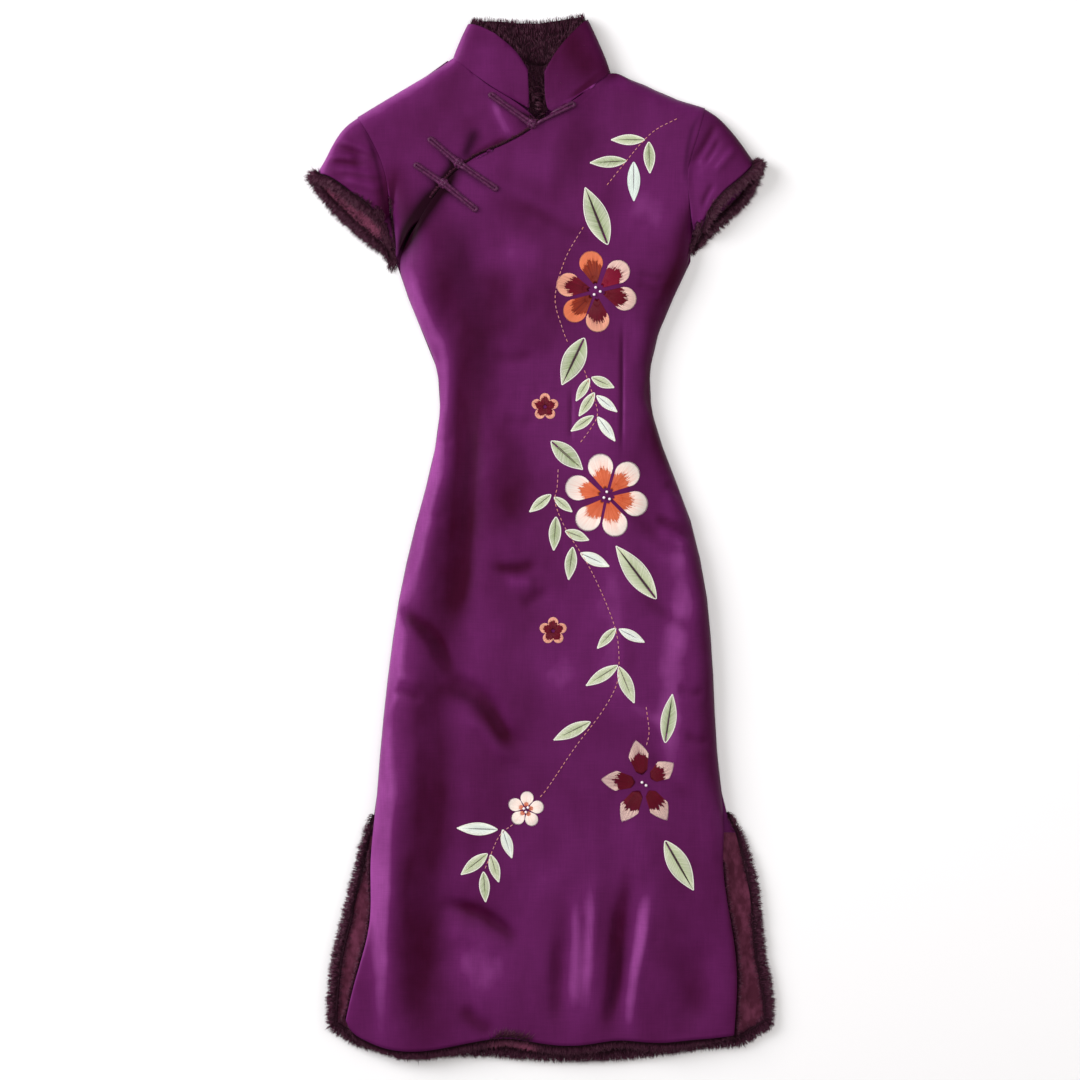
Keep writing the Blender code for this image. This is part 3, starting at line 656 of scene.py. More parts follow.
@dataclass(frozen=True)
class SilkFinish(Finish):
    """Satin-faced silk whose colour runs from a maroon painted shade through a middle tone to a violet
    painted highlight, near black with painted shade in its hollows, and fine slubs.
    """

    # the violet of painted highlight, the middle tone, the maroon of painted shade, and the near black of
    # painted deep shade
    painted_highlight: Colour = (0.300, 0.062, 0.272)
    middle: Colour = (0.116, 0.013, 0.095)
    ground: Colour = (0.036, 0.0008, 0.014)
    deep: Colour = (0.0110, 0.0002, 0.0048)
    cloud: Axes = (95.0, 140.0, 60.0)
    cloud_share: float = 0.26
    warp: Axes = (0.9, 26.0, 6.0)
    weft: Axes = (22.0, 0.9, 6.0)
    worn: Axes = (40.0, 60.0, 30.0)
    thread_pitch: float = 0.5

    def paint(self, bench: NodeBench) -> None:
        """Paints the cloth's material.

        Args:
            bench: Where the material's nodes are laid.
        """
        # random clouds of tone make up a quarter of the mix; the rest is the painted light and shade that
        # each point carries
        clouds = bench.spread(bench.noise(self.cloud, 4.0), 0.36, 0.64, 0.0, 1.0)
        clouded = bench.maths("MULTIPLY", clouds, self.cloud_share)
        painted_light_part = bench.maths("MULTIPLY", bench.attribute("tilt", "Fac"), 1.0 - self.cloud_share)
        share = bench.maths("ADD", clouded, painted_light_part)
        cloth = bench.colours(share, ((0.0, self.ground), (0.62, self.middle), (1.0, self.painted_highlight)))
        # painted deep shade where the cloth lies in hollows
        cloth = bench.mixed(bench.attribute("painted_shade", "Fac"), cloth, self.deep)
        slubs = bench.maths("ADD", bench.noise(self.warp), bench.noise(self.weft))
        slubs = bench.maths("MULTIPLY", slubs, 0.5)
        shade = bench.maths("MULTIPLY", bench.spread(slubs, 0.36, 0.64, 0.91, 1.08), 0.5)
        threads = bench.colours(shade, ((0.0, (0.0, 0.0, 0.0)), (1.0, (2.0, 2.0, 2.0))))
        bench.link(bench.mixed(1.0, cloth, threads, "MULTIPLY"), bench.shader.inputs["Base Color"])
        worn = bench.spread(bench.noise(self.worn), 0.3, 0.7, 0.42, 0.56)
        bench.link(worn, bench.shader.inputs["Roughness"])
        weave = bench.maths("ADD", bench.bands(self.thread_pitch, "X"), bench.bands(self.thread_pitch, "Y"))
        bench.bump(bench.maths("ADD", bench.maths("MULTIPLY", weave, 0.3), slubs), 0.16, 0.14)
        bench.shine(Sheen_Weight=0.02, Sheen_Roughness=0.35, Sheen_Tint=(0.85, 0.28, 0.80, 1.0))
        bench.shine(Specular_IOR_Level=0.035, Anisotropic=0.25)


@dataclass(frozen=True)
class PlushFinish(Finish):
    """Burgundy plush, short and soft, crushed lighter in places."""

    pile: Colour = (0.066, 0.008, 0.024)
    crushed: Colour = (0.165, 0.034, 0.075)
    patch: Axes = (9.0, 16.0, 9.0)
    tuft: Axes = (0.8, 0.8, 0.8)

    def paint(self, bench: NodeBench) -> None:
        """Paints the plush's material.

        Args:
            bench: Where the material's nodes are laid.
        """
        patches = bench.spread(bench.noise(self.patch, 4.0), 0.40, 0.66, 0.0, 1.0)
        pile = bench.noise(self.tuft)
        share = bench.maths("MULTIPLY", patches, bench.spread(pile, 0.3, 0.7, 0.55, 1.0))
        bench.link(bench.mixed(share, self.pile, self.crushed), bench.shader.inputs["Base Color"])
        bench.bump(pile, 0.5, 0.5)
        bench.shine(Roughness=0.85, Sheen_Weight=0.3, Sheen_Roughness=0.4)
        bench.shine(Sheen_Tint=(0.95, 0.55, 0.62, 1.0), Specular_IOR_Level=0.2)


@dataclass(frozen=True)
class FurFinish(Finish):
    """Dark fur: near black at the skin, maroon on its length, plum at its tips, and mauve in places."""

    skin: Colour = (0.009, 0.003, 0.005)
    length: Colour = (0.066, 0.014, 0.034)
    tips: Colour = (0.330, 0.160, 0.220)
    mauve: Colour = (0.330, 0.085, 0.160)

    def paint(self, bench: NodeBench) -> None:
        """Paints the hair's material, which reads how far along each hair a point lies.

        Args:
            bench: Where the material's nodes are laid.
        """
        along = bench.attribute("along", "Fac")
        tone = bench.attribute("tone", "Fac")
        hair = bench.colours(along, ((0.0, self.skin), (0.45, self.length), (1.0, self.tips)))
        plain = bench.colours(along, ((0.0, self.skin), (0.6, self.length), (1.0, self.length)))
        lined = bench.colours(along, ((0.0, self.length), (0.4, self.mauve), (1.0, self.mauve)))
        dark = bench.mixed(tone, plain, hair)
        coat = bench.mixed(bench.attribute("lining", "Fac"), dark, lined)
        bench.link(coat, bench.shader.inputs["Base Color"])
        bench.shine(Roughness=0.6, Sheen_Weight=0.03, Sheen_Roughness=0.4)
        bench.shine(Sheen_Tint=(0.8, 0.5, 0.58, 1.0), Specular_IOR_Level=0.06)


@dataclass(frozen=True)
class CordFinish(Finish):
    """Cords of bias-cut silk, a little darker than the cloth."""

    silk: Colour = (0.050, 0.004, 0.034)
    edge: Colour = (0.150, 0.024, 0.100)
    thread: Axes = (0.7, 0.7, 0.7)
    spot: Axes = (4.0, 4.0, 4.0)

    def paint(self, bench: NodeBench) -> None:
        """Paints the cords' material.

        Args:
            bench: Where the material's nodes are laid.
        """
        threads = bench.noise(self.thread)
        spots = bench.noise(self.spot)
        share = bench.maths("MULTIPLY", bench.spread(spots, 0.4, 0.7, 0.0, 1.0), threads)
        bench.link(bench.mixed(share, self.silk, self.edge), bench.shader.inputs["Base Color"])
        bench.bump(threads, 0.35, 0.2)
        bench.shine(Roughness=0.42, Specular_IOR_Level=0.22)
        bench.shine(Sheen_Weight=0.10, Sheen_Tint=(0.9, 0.4, 0.7, 1.0))


@dataclass(frozen=True)
class FlossFinish(Finish):
    """Silk floss, in the colours that its stitches carry."""

    gloss: float = 0.42
    fibre: Axes = (0.35, 0.35, 0.35)

    def paint(self, bench: NodeBench) -> None:
        """Paints the floss's material.

        Args:
            bench: Where the material's nodes are laid.
        """
        fibres = bench.noise(self.fibre, 1.0)
        shade = bench.colours(fibres, ((0.25, (0.90, 0.90, 0.90)), (0.75, (1.0, 1.0, 1.0))))
        floss = bench.mixed(1.0, bench.attribute("floss", "Color"), shade, "MULTIPLY")
        bench.link(floss, bench.shader.inputs["Base Color"])
        bench.shine(Roughness=self.gloss, Specular_IOR_Level=0.16, Sheen_Weight=0.0)


@dataclass(frozen=True)
class PearlFinish(Finish):
    """Small pearl beads."""

    pearl: Colour = (0.86, 0.72, 0.76)
    gleam: Colour = (0.95, 0.90, 0.92)
    cloud: Axes = (1.5, 1.5, 1.5)

    def paint(self, bench: NodeBench) -> None:
        """Paints the beads' material.

        Args:
            bench: Where the material's nodes are laid.
        """
        lustre = bench.mixed(bench.noise(self.cloud, 1.0), self.pearl, self.gleam)
        bench.link(lustre, bench.shader.inputs["Base Color"])
        bench.shine(Roughness=0.18, Coat_Weight=0.6, Coat_Roughness=0.1)


# Cloth


# how level cloth must lie to be folded (the z of its normal), and over what range folds come in
STEEPEST_FOLD = 0.15
FOLD_FADE = 0.5

# painted light: the share of level cloth, what a lean to the left and to the top adds where it faces the
# lamps, and what a millimetre of ridge adds (lighter on ridges, darker in troughs)
PAINTED_LIGHT_LEVEL = 0.38
PAINTED_LIGHT_TO_LEFT = 0.7
PAINTED_LIGHT_TO_TOP = 0.45
PAINTED_LIGHT_OF_RIDGE = 0.07

# the even share of painted light that a flat sheet, which has no folds to lean on, carries instead
FLAT_PAINTED_LIGHT = 0.3


def drop_rims(piece: Piece) -> None:
    """Deletes the narrow faces along a wall's edges, behind which the wall runs on.

    Args:
        piece: A copy of a packed wall.
    """
    tree = tree_of([piece])
    rims = []
    for face in piece.data.polygons:
        start = face.center - face.normal * SKIN_START
        met = tree.ray_cast(start, -face.normal, DEEPEST_WALL)
        if met[0] is None or met[3] < THINNEST_WALL:
            rims.append(face.index)
    select_faces(piece, rims)
    bpy.ops.mesh.delete(type="FACE")
    leave_edit()


def keep_from_crown(piece: Piece, sharpness: float) -> None:
    """Keeps only the face of a wall that runs on from its highest point.

    Args:
        piece: A copy of a packed wall.
        sharpness: The edge angle, in degrees, at which that face ends.
    """
    upper = [face for face in piece.data.polygons if face.normal.z > 0.8]
    seed = max(upper, key=lambda face: face.center.z).index
    select_faces(piece, [seed])
    bpy.ops.mesh.faces_select_linked_flat(sharpness=math.radians(sharpness))
    bpy.ops.mesh.select_all(action="INVERT")
    bpy.ops.mesh.delete(type="FACE")
    leave_edit()


def keep_largest_shell(piece: Piece) -> None:
    """Keeps the largest run of faces that share edges, which is the wall's outer face.

    Args:
        piece: The wall, with its rims gone.
    """
    mesh = piece.data
    beside = {}
    for face in mesh.polygons:
        for edge in face.edge_keys:
            beside.setdefault(edge, []).append(face.index)
    left = set(range(len(mesh.polygons)))
    shells = []
    while left:
        waiting = [left.pop()]
        shell = []
        while waiting:
            face = waiting.pop()
            shell.append(face)
            near = {other for edge in mesh.polygons[face].edge_keys for other in beside[edge]} & left
            left -= near
            waiting.extend(near)
        shells.append(shell)
    largest = max(shells, key=lambda shell: sum(mesh.polygons[face].area for face in shell))
    select_faces(piece, set(range(len(mesh.polygons))) - set(largest))
    bpy.ops.mesh.delete(type="FACE")
    leave_edit()


@dataclass
class ClothSheet:
    """A sheet of the garment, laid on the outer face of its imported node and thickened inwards."""

    node: str
    flat: Tuple[float, float]
    area: float
    creases: Tuple[Crease, ...] = ()
    sharpness: float = 0.0
    levels: int = 3
    wall: float = 2.4
    seam: float = 0.6
    ripple: float = 0.5
    most_faces: int = 0
    gussets: Tuple[Crease, ...] = ()

    def skin(self) -> Piece:
        """Takes the outer face of the node as a sheet of quads.

        Returns:
            The new object.
        """
        piece = copy_of_node(f"{self.node}_cloth", self.node)
        if self.sharpness:
            keep_from_crown(piece, self.sharpness)
        else:
            drop_rims(piece)
            keep_largest_shell(piece)
        enter_edit(piece)
        bpy.ops.mesh.select_all(action="SELECT")
        widest = math.radians(80.0)
        bpy.ops.mesh.tris_convert_to_quads(face_threshold=widest, shape_threshold=widest)
        leave_edit()
        return piece

    def widen(self, piece: Piece) -> None:
        """Moves the sheet's edge outwards by its seam allowance, so that it meets its neighbours.

        Args:
            piece: The sheet.
        """
        mesh = piece.data
        places, normals = points_of(piece), normals_of(piece)
        uses = {}
        for face in mesh.polygons:
            for edge in face.edge_keys:
                uses[edge] = uses.get(edge, 0) + 1
        rim = {point for edge, count in uses.items() if count == 1 for point in edge}
        inward = np.zeros_like(places)
        for first, second in uses:
            if (first in rim) != (second in rim):
                edge_point, inner = (first, second) if first in rim else (second, first)
                inward[edge_point] += places[inner] - places[edge_point]
        away = -inward + normals * (inward * normals).sum(axis=1, keepdims=True)
        seam = self.seam + relief_of(self.gussets, places[:, :2] / MM)
        on_rim = np.abs(inward).sum(axis=1) > 0
        move_points(piece, places + unit(away) * (on_rim * seam * MM)[:, None])

    def fold(self, piece: Piece) -> None:
        """Moves the sheet's points by its creases and its fine ripples.

        Args:
            piece: The sheet.
        """
        places = points_of(piece)
        normals = normals_of(piece)
        flat = places[:, :2] / MM
        height = relief_of(self.creases, flat) + ripples(SILK_RIPPLES, self.ripple, places / MM)
        lying = smooth_step((normals[:, 2] - STEEPEST_FOLD) / FOLD_FADE)
        places += normals * (height * lying * MM)[:, None]
        move_points(piece, places)

    def tilt(self, piece: Piece) -> None:
        """Keeps the silk's painted light and shade: how far each point leans up and left, its ridges, strokes
        and hollows.

        Args:
            piece: The folded sheet.
        """
        normals = normals_of(piece)
        flat = points_of(piece)[:, :2] / MM
        # painted light: lighter where the cloth leans towards the lamps on the left and top and on ridges,
        # darker in troughs
        lean = PAINTED_LIGHT_LEVEL - PAINTED_LIGHT_TO_LEFT * normals[:, 0] + PAINTED_LIGHT_TO_TOP * normals[:, 1]
        lean += PAINTED_LIGHT_OF_RIDGE * relief_of(self.creases, flat)
        # strokes of painted light and painted shade are added on top
        store_values(piece, "tilt", np.clip(lean + relief_of(PAINTED_LIGHT_AND_SHADE, flat), 0.0, 1.0))
        # painted deep shade beside the flap, round the frogs and in the folds
        store_values(piece, "painted_shade", np.clip(relief_of(PAINTED_SHADES, flat), 0.0, 1.0))

    def make(self, material: Material, slot: str = "silk") -> Piece:
        """Makes the sheet.

        Args:
            material: Its cloth.
            slot: Not used.

        Returns:
            The finished piece.
        """
        piece = self.skin()
        self.widen(piece)
        add_subdivision(piece, self.levels)
        apply_modifiers(piece)
        self.fold(piece)
        self.tilt(piece)
        wall = piece.modifiers.new("Padded wall", "SOLIDIFY")
        wall.thickness = self.wall * MM
        wall.offset = -1.0
        wall.use_rim = True
        if self.most_faces:
            inner = piece.vertex_groups.new(name="inner face")
            wall.shell_vertex_group = inner.name
            thin = piece.modifiers.new("Plainer inside", "DECIMATE")
            thin.vertex_group = inner.name
            thin.vertex_group_factor = 10.0
            faces = sum(len(face.vertices) - 2 for face in piece.data.polygons)
            thin.ratio = min(1.0, self.most_faces / (2.0 * faces))
        apply_modifiers(piece)
        piece.vertex_groups.clear()
        places = points_of(piece)
        places[:, 2] = np.maximum(places[:, 2], 0.0)
        move_points(piece, places)
        piece.data.shade_smooth()
        dress(piece, material, (self.node,))
        return piece


@dataclass
class FlatSheet:
    """A sheet that lies flat: its node's outline cut from a fine grid, with shallow puckers."""

    node: str
    flat: Tuple[float, float]
    area: float
    cell: float = 6.0
    pucker: float = 0.5

    def slab(self) -> Piece:
        """Cuts the node's outline from a gridded slab.

        Returns:
            The new object.
        """
        low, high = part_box(self.node)
        span = high - low
        bpy.ops.object.select_all(action="DESELECT")
        bpy.ops.mesh.primitive_grid_add(
            x_subdivisions=int(span.x / (self.cell * MM)) + 4,
            y_subdivisions=int(span.y / (self.cell * MM)) + 4,
            size=1.0,
            location=((low.x + high.x) / 2, (low.y + high.y) / 2, low.z),
        )
        piece = bpy.context.object
        piece.name = f"{self.node}_cloth"
        piece.scale = (span.x + 4 * self.cell * MM, span.y + 4 * self.cell * MM, 1.0)
        bpy.ops.object.transform_apply(location=True, rotation=True, scale=True)
        wall = piece.modifiers.new("Wall", "SOLIDIFY")
        wall.thickness = span.z
        wall.offset = 1.0
        cutter = copy_of_node("outline_cutter", self.node)
        tall = points_of(cutter)
        middle = (low.z + high.z) / 2
        tall[:, 2] = middle + (tall[:, 2] - middle) * 3.0
        move_points(cutter, tall)
        cut = piece.modifiers.new("Outline", "BOOLEAN")
        cut.operation = "INTERSECT"
        cut.solver = "EXACT"
        cut.object = cutter
        apply_modifiers(piece)
        bpy.data.objects.remove(cutter)
        return piece

    def make(self, material: Material, slot: str) -> Piece:
        """Makes the sheet.

        Args:
            material: Its cloth.
            slot: Not used.

        Returns:
            The finished piece.
        """
        piece = self.slab()
        places = points_of(piece)
        places[:, 2] += np.maximum(ripples(LYING_RIPPLES, self.pucker, places / MM), 0.0) * MM
        move_points(piece, places)
        piece.data.shade_smooth()
        stand_alone(piece)
        bpy.ops.object.shade_smooth_by_angle(angle=math.radians(50.0))
        # an even share of painted light, and painted deep shade from the table beside the flap and the frogs
        store_values(piece, "tilt", np.full(len(places), FLAT_PAINTED_LIGHT))
        store_values(piece, "painted_shade", np.clip(relief_of(PAINTED_SHADES, places[:, :2] / MM), 0.0, 1.0))
        dress(piece, material, (self.node,))
        return piece


FRONT_CREASES = (
    # the valley beside the left edge, and the ridge down the right
    Crease(((-106, 240), (-96, 160), (-88, 80), (-92, -20), (-100, -100), (-106, -160)), 17.0, -3.6),
    Crease(((60, 300), (84, 160), (92, 20), (104, -150), (116, -320)), 30.0, 2.6),
    Crease(((-150, -240), (-176, -330), (-188, -500)), 16.0, 2.6),
    # the bust, its darts and the waist
    Crease(((95, 262), (95, 180), (94, 84)), 2.6, -1.6),
    Crease(((34, 178), (34, 140), (33, 106)), 2.6, -1.2),
    Crease(((112, 311), (128, 306), (150, 303)), 3.4, -1.5),
    Crease(((110, 299), (126, 292), (144, 284)), 3.8, -1.5),
    Crease(((-62, 216), (-34, 208), (-2, 214)), 7.0, -1.5),
    Crease(((-47, 140), (-24, 132), (-2, 138)), 7.0, -1.4),
    Crease(((122, 215), (134, 190), (128, 165), (138, 135)), 7.0, -1.8),
    Crease(((131, 22), (152, 12), (174, 2), (190, -3)), 5.5, -2.4),
    Crease(((136, 4), (156, -8), (180, -16)), 7.0, 1.6),
    Crease(((145, 63), (156, 54), (170, 44)), 5.0, -1.7),
    Crease(((-62, 521), (-52, 496), (-38, 470)), 6.0, 1.8),
    Crease(((-150, 380), (-120, 350), (-96, 330)), 8.0, -1.4),
    Crease(((-132, 118), (-118, 112), (-104, 110)), 4.0, -1.3),
    Crease(((-152, 30), (-134, 22), (-112, 18)), 5.0, -1.4),
    # the hips
    Crease(((-64, -38), (-34, -42), (0, -34)), 7.0, -2.2),
    Crease(((-44, -52), (-26, -58), (-6, -56)), 6.0, 1.5),
    Crease(((-28, -88), (-10, -78), (12, -66)), 8.0, -1.8),
    Crease(((-178, -84), (-150, -104), (-124, -130), (-104, -172)), 9.0, -3.2),
    Crease(((-184, -184), (-160, -190), (-138, -197)), 5.0, -2.2),
    Crease(((-186, -166), (-160, -172), (-140, -178)), 5.0, 1.4),
    Crease(((-118, -176), (-92, -178), (-60, -200), (-40, -238), (-12, -256)), 9.0, -3.2),
    Crease(((-102, -214), (-70, -232), (-48, -258), (-20, -268)), 7.0, 2.0),
    # the skirt
    Crease(((-130, -443), (-90, -446), (-50, -466), (-20, -492)), 9.0, -3.4),
    Crease(((-120, -474), (-80, -480), (-46, -500)), 12.0, 2.0),
    Crease(((40, -420), (42, -490), (38, -585)), 7.0, 2.0),
    Crease(((22, -470), (20, -530), (18, -590)), 9.0, -2.4),
    Crease(((60, -400), (60, -480), (52, -570)), 7.0, 2.2),
    Crease(((96, -420), (90, -489), (86, -548), (72, -596)), 8.0, -3.6),
    Crease(((125, -420), (122, -470), (110, -533), (104, -606)), 8.0, 3.0),
    Crease(((180, -480), (188, -530), (196, -590)), 20.0, -1.8),
    Crease(((160, -180), (178, -190), (196, -186)), 5.0, -1.8),
    Crease(((168, -236), (186, -246), (204, -244)), 6.0, -1.8),
    Crease(((-98, -560), (-76, -578), (-56, -598)), 8.0, -2.0),
)

# painted light on the silk where a stroke's height is above zero, and painted shade where it is below
PAINTED_LIGHT_AND_SHADE = (
    # lit: the left edge from the armhole to the hem
    Crease(((-168, 330), (-152, 286), (-131, 247), (-116, 215), (-114, 170), (-112, 110)), 10.0, 0.50),
    Crease(((-112, 130), (-118, 80), (-134, 40), (-148, -20), (-160, -80)), 12.0, 0.30),
    Crease(((-164, -100), (-176, -150), (-184, -220)), 12.0, 0.30),
    Crease(((-186, -200), (-190, -310), (-192, -440), (-192, -600), (-192, -640)), 11.0, 0.66),
    # lit: the chest, the bust and the right side
    Crease(((-44, 446), (-10, 436), (24, 432)), 24.0, 0.30),
    Crease(((-62, 528), (-50, 496), (-30, 462)), 7.0, 0.40),
    Crease(((-52, 344), (-24, 334), (6, 330)), 20.0, 0.30),
    Crease(((84, 400), (130, 376), (150, 340)), 26.0, 0.22),
    Crease(((86, 276), (110, 240), (122, 180), (124, 110)), 17.0, 0.24),
    Crease(((-60, 590), (-70, 560), (-60, 530)), 22.0, 0.16),
    # lit: the hips and the skirt
    Crease(((104, 2), (146, -24), (186, -38)), 15.0, 0.30),
    Crease(((158, 10), (166, -70), (156, -150), (152, -240), (168, -340)), 17.0, 0.46),
    Crease(((-44, -56), (-28, -60), (-8, -58)), 8.0, 0.28),
    Crease(((-44, -120), (0, -150), (36, -200)), 32.0, 0.22),
    Crease(((-120, -500), (-80, -520), (-20, -530)), 32.0, 0.30),
    Crease(((-60, -340), (-20, -390), (10, -440)), 28.0, 0.18),
    Crease(((42, -400), (44, -500), (40, -640)), 8.0, 0.13),
    Crease(((64, -360), (60, -480), (54, -620)), 8.0, 0.14),
    Crease(((130, -380), (122, -470), (110, -540), (102, -640)), 9.0, 0.34),
    Crease(((196, -300), (216, -360), (222, -470)), 7.0, 0.30),
    # painted shade: from the armpit down the waist
    Crease(((-132, 440), (-122, 362), (-98, 300), (-80, 250), (-76, 180), (-76, 90)), 26.0, -0.46),
    Crease(((-84, 220), (-86, 110), (-90, 40), (-96, -50), (-104, -140)), 13.0, -0.50),
    Crease(((-60, 150), (-40, 90), (-40, -10)), 30.0, -0.34),
    Crease(((-190, 450), (-172, 410), (-160, 350)), 22.0, -0.34),
    Crease(((-20, 300), (0, 260), (-10, 200)), 24.0, -0.20),
    Crease(((-92, 506), (-84, 476), (-78, 452)), 12.0, -0.22),
    # painted shade: the hips and the skirt
    Crease(((-186, -76), (-150, -104), (-124, -132), (-98, -186)), 10.0, -0.36),
    Crease(((-134, -180), (-92, -192), (-66, -214), (-30, -262)), 10.0, -0.36),
    Crease(((-150, -150), (-134, -250), (-130, -350), (-140, -430)), 28.0, -0.34),
    Crease(((-60, -36), (-30, -42), (0, -34)), 7.0, -0.26),
    Crease(((-150, -350), (-150, -430), (-146, -520), (-140, -600), (-138, -640)), 25.0, -0.36),
    Crease(((-112, -444), (-70, -452), (-22, -492)), 10.0, -0.34),
    Crease(((-100, -566), (-76, -584), (-50, -594)), 10.0, -0.30),
    Crease(((104, -360), (94, -480), (87, -548), (70, -616)), 8.0, -0.46),
    Crease(((24, -400), (20, -520), (16, -616)), 12.0, -0.20),
    Crease(((158, -496), (182, -530), (200, -594)), 22.0, -0.10),
    Crease(((-64, 330), (-50, 285), (-50, 225)), 20.0, -0.36),
    Crease(((131, 22), (152, 12), (174, 2), (190, -3)), 6.0, -0.36),
    Crease(((96, -110), (104, -140), (100, -180)), 9.0, -0.20),
    Crease(((60, 60), (100, 30), (140, -10), (176, -60)), 9.0, -0.22),
    Crease(((110, -60), (140, -90), (190, -120)), 8.0, -0.22),
    Crease(((120, -250), (150, -290), (186, -320)), 9.0, -0.20),
    # painted light and painted shade, side by side: the right hip, under the flap and down the right
    Crease(((100, -200), (140, -220), (180, -214)), 8.0, 0.18),
    Crease(((-40, 400), (20, 372), (70, 340)), 9.0, -0.20),
    Crease(((-60, 420), (-10, 396), (50, 360)), 8.0, 0.18),
    Crease(((-262, 480), (-230, 440), (-196, 400)), 28.0, -0.14),
    Crease(((140, 100), (176, -60), (194, -240)), 14.0, 0.12),
    Crease(((-180, 470), (-130, 500), (-90, 520)), 26.0, -0.12),
    Crease(((110, -380), (140, -480), (160, -620)), 26.0, 0.07),
    # painted shade: the seams of the collar and under the flap
    Crease(((28, 514), (51, 532), (80, 554)), 3.5, -0.60),
    Crease(((-98, 436), (-71, 457), (-30, 476)), 4.0, -0.50),
    # painted shade: the collar's right side
    Crease(((20, 640), (40, 590), (80, 540)), 28.0, -0.46),
)

# the painted deep shade beside the flap, round the frogs and in the folds
PAINTED_SHADES = (
    Crease(((-90, 452), (-112, 420), (-134, 394), (-160, 354), (-182, 300)), 10.5, 1.15),
    Crease(((-118, 420), (-150, 380), (-176, 336)), 20.0, 0.40),
    Crease(((-76, 488), (-88, 460), (-94, 440)), 7.0, 0.80),
    Crease(((-98, 454), (-110, 431), (-120, 414)), 8.0, 0.70),
    Crease(((-30, 500), (-12, 492), (6, 494)), 8.0, 0.80),
    Crease(((-64, 521), (-38, 506), (-10, 492)), 4.6, 0.55),
    Crease(((-10, 492), (14, 500), (40, 512)), 4.6, 0.50),
    Crease(((-136, 468), (-98, 438), (-54, 405)), 4.8, 0.55),
    Crease(((-153, 437), (-116, 413), (-78, 381)), 4.8, 0.55),
    Crease(((-222, 498), (-206, 470), (-194, 430), (-188, 392), (-184, 372)), 3.0, 0.50),
    Crease(((192, 508), (178, 480), (171, 440), (171, 410)), 3.0, 0.40),
    Crease(((95, 262), (95, 180), (94, 84)), 1.4, 0.60),
    Crease(((34, 178), (34, 140), (33, 106)), 1.4, 0.45),
    Crease(((98, -470), (90, -520), (76, -590)), 5.0, 0.40),
    Crease(((-86, 160), (-88, 90), (-92, 30), (-96, -40)), 7.0, 0.26),
    Crease(((-116, 400), (-94, 310), (-76, 250), (-76, 130)), 20.0, 0.26),
    Crease(((-160, -340), (-160, -440), (-156, -530), (-150, -640)), 15.0, 0.10),
    Crease(((-122, -182), (-90, -194), (-62, -218), (-44, -246)), 6.0, 0.22),
    Crease(((-170, -92), (-148, -108), (-122, -134), (-106, -170)), 6.0, 0.20),
)

# where a seam would stand open: the collar's right corner and the left armhole
GUSSETS = (
    Crease(((62, 536), (86, 550), (108, 566)), 9.0, 2.2),
    Crease(((-186, 420), (-180, 372), (-177, 316)), 9.0, 1.8),
)

LEFT_SLEEVE_CREASES = (
    Crease(((-246, 472), (-218, 461), (-193, 450)), 3.6, 1.6),
    Crease(((-258, 448), (-238, 449), (-218, 446)), 3.2, 1.4),
    Crease(((-254, 434), (-222, 431), (-188, 424)), 4.0, 1.6),
    Crease(((-240, 423), (-214, 416), (-186, 408)), 5.0, 1.8),
    Crease(((-254, 464), (-230, 457), (-206, 448)), 3.2, -1.6),
    Crease(((-258, 444), (-232, 441), (-206, 437)), 3.2, -1.5),
    Crease(((-228, 404), (-208, 394), (-190, 384)), 4.0, -1.5),
)

RIGHT_SLEEVE_CREASES = (
    Crease(((174, 446), (172, 416), (177, 384), (183, 364)), 4.5, 1.5),
    Crease(((210, 494), (196, 466), (176, 436)), 5.0, -2.0),
    Crease(((213, 474), (204, 457), (192, 440)), 4.0, -1.6),
    Crease(((232, 462), (218, 446), (204, 428)), 5.0, 1.5),
    Crease(((206, 420), (196, 402), (190, 386)), 4.0, -1.4),
)


# Repeated shapes, each modelled once


class Template(NamedTuple):
    """A small shape that is copied many times: x and y across it, and z along it."""

    points: np.ndarray
    faces: Tuple[Tuple[int, ...], ...]


def take_template(piece: Piece) -> Template:
    """Reads a small object as a template, and removes it.

    Args:
        piece: The object, already in its final form.

    Returns:
        Its points and faces.
    """
    template = Template(points_of(piece), tuple(tuple(face.vertices) for face in piece.data.polygons))
    bpy.data.objects.remove(piece)
    return template


def model_hair() -> Template:
    """Models one hair: a three-sided spike, a unit long, that keeps its width to its middle.

    Returns:
        The hair.
    """
    bpy.ops.object.select_all(action="DESELECT")
    bpy.ops.mesh.primitive_cone_add(vertices=3, radius1=1.0, radius2=0.0, depth=1.0, location=(0.0, 0.0, 0.5))
    hair = bpy.context.object
    bpy.ops.object.transform_apply(location=True, rotation=True, scale=True)
    enter_edit(hair)
    bpy.ops.mesh.select_all(action="SELECT")
    bpy.ops.mesh.bisect(plane_co=(0.0, 0.0, 0.5), plane_no=(0.0, 0.0, 1.0))
    leave_edit()
    places = points_of(hair)
    middle = np.abs(places[:, 2] - 0.5) < 0.01
    places[middle, :2] *= 1.6
    move_points(hair, places)
    return take_template(hair)


def model_stitch() -> Template:
    """Models one stitch of floss: a short lens of three sides, two units long.

    Returns:
        The stitch.
    """
    bpy.ops.object.select_all(action="DESELECT")
    bpy.ops.mesh.primitive_uv_sphere_add(segments=3, ring_count=3, radius=1.0)
    stitch = bpy.context.object
    places = points_of(stitch)
    angle = math.radians(90.0) - math.atan2(places[1, 1], places[1, 0])
    turned = places.copy()
    turned[:, 0] = places[:, 0] * math.cos(angle) - places[:, 1] * math.sin(angle)
    turned[:, 1] = places[:, 0] * math.sin(angle) + places[:, 1] * math.cos(angle)
    rings = np.abs(places[:, 2]) < 0.9
    turned[rings, 2] *= 1.5
    move_points(stitch, turned)
    return take_template(stitch)


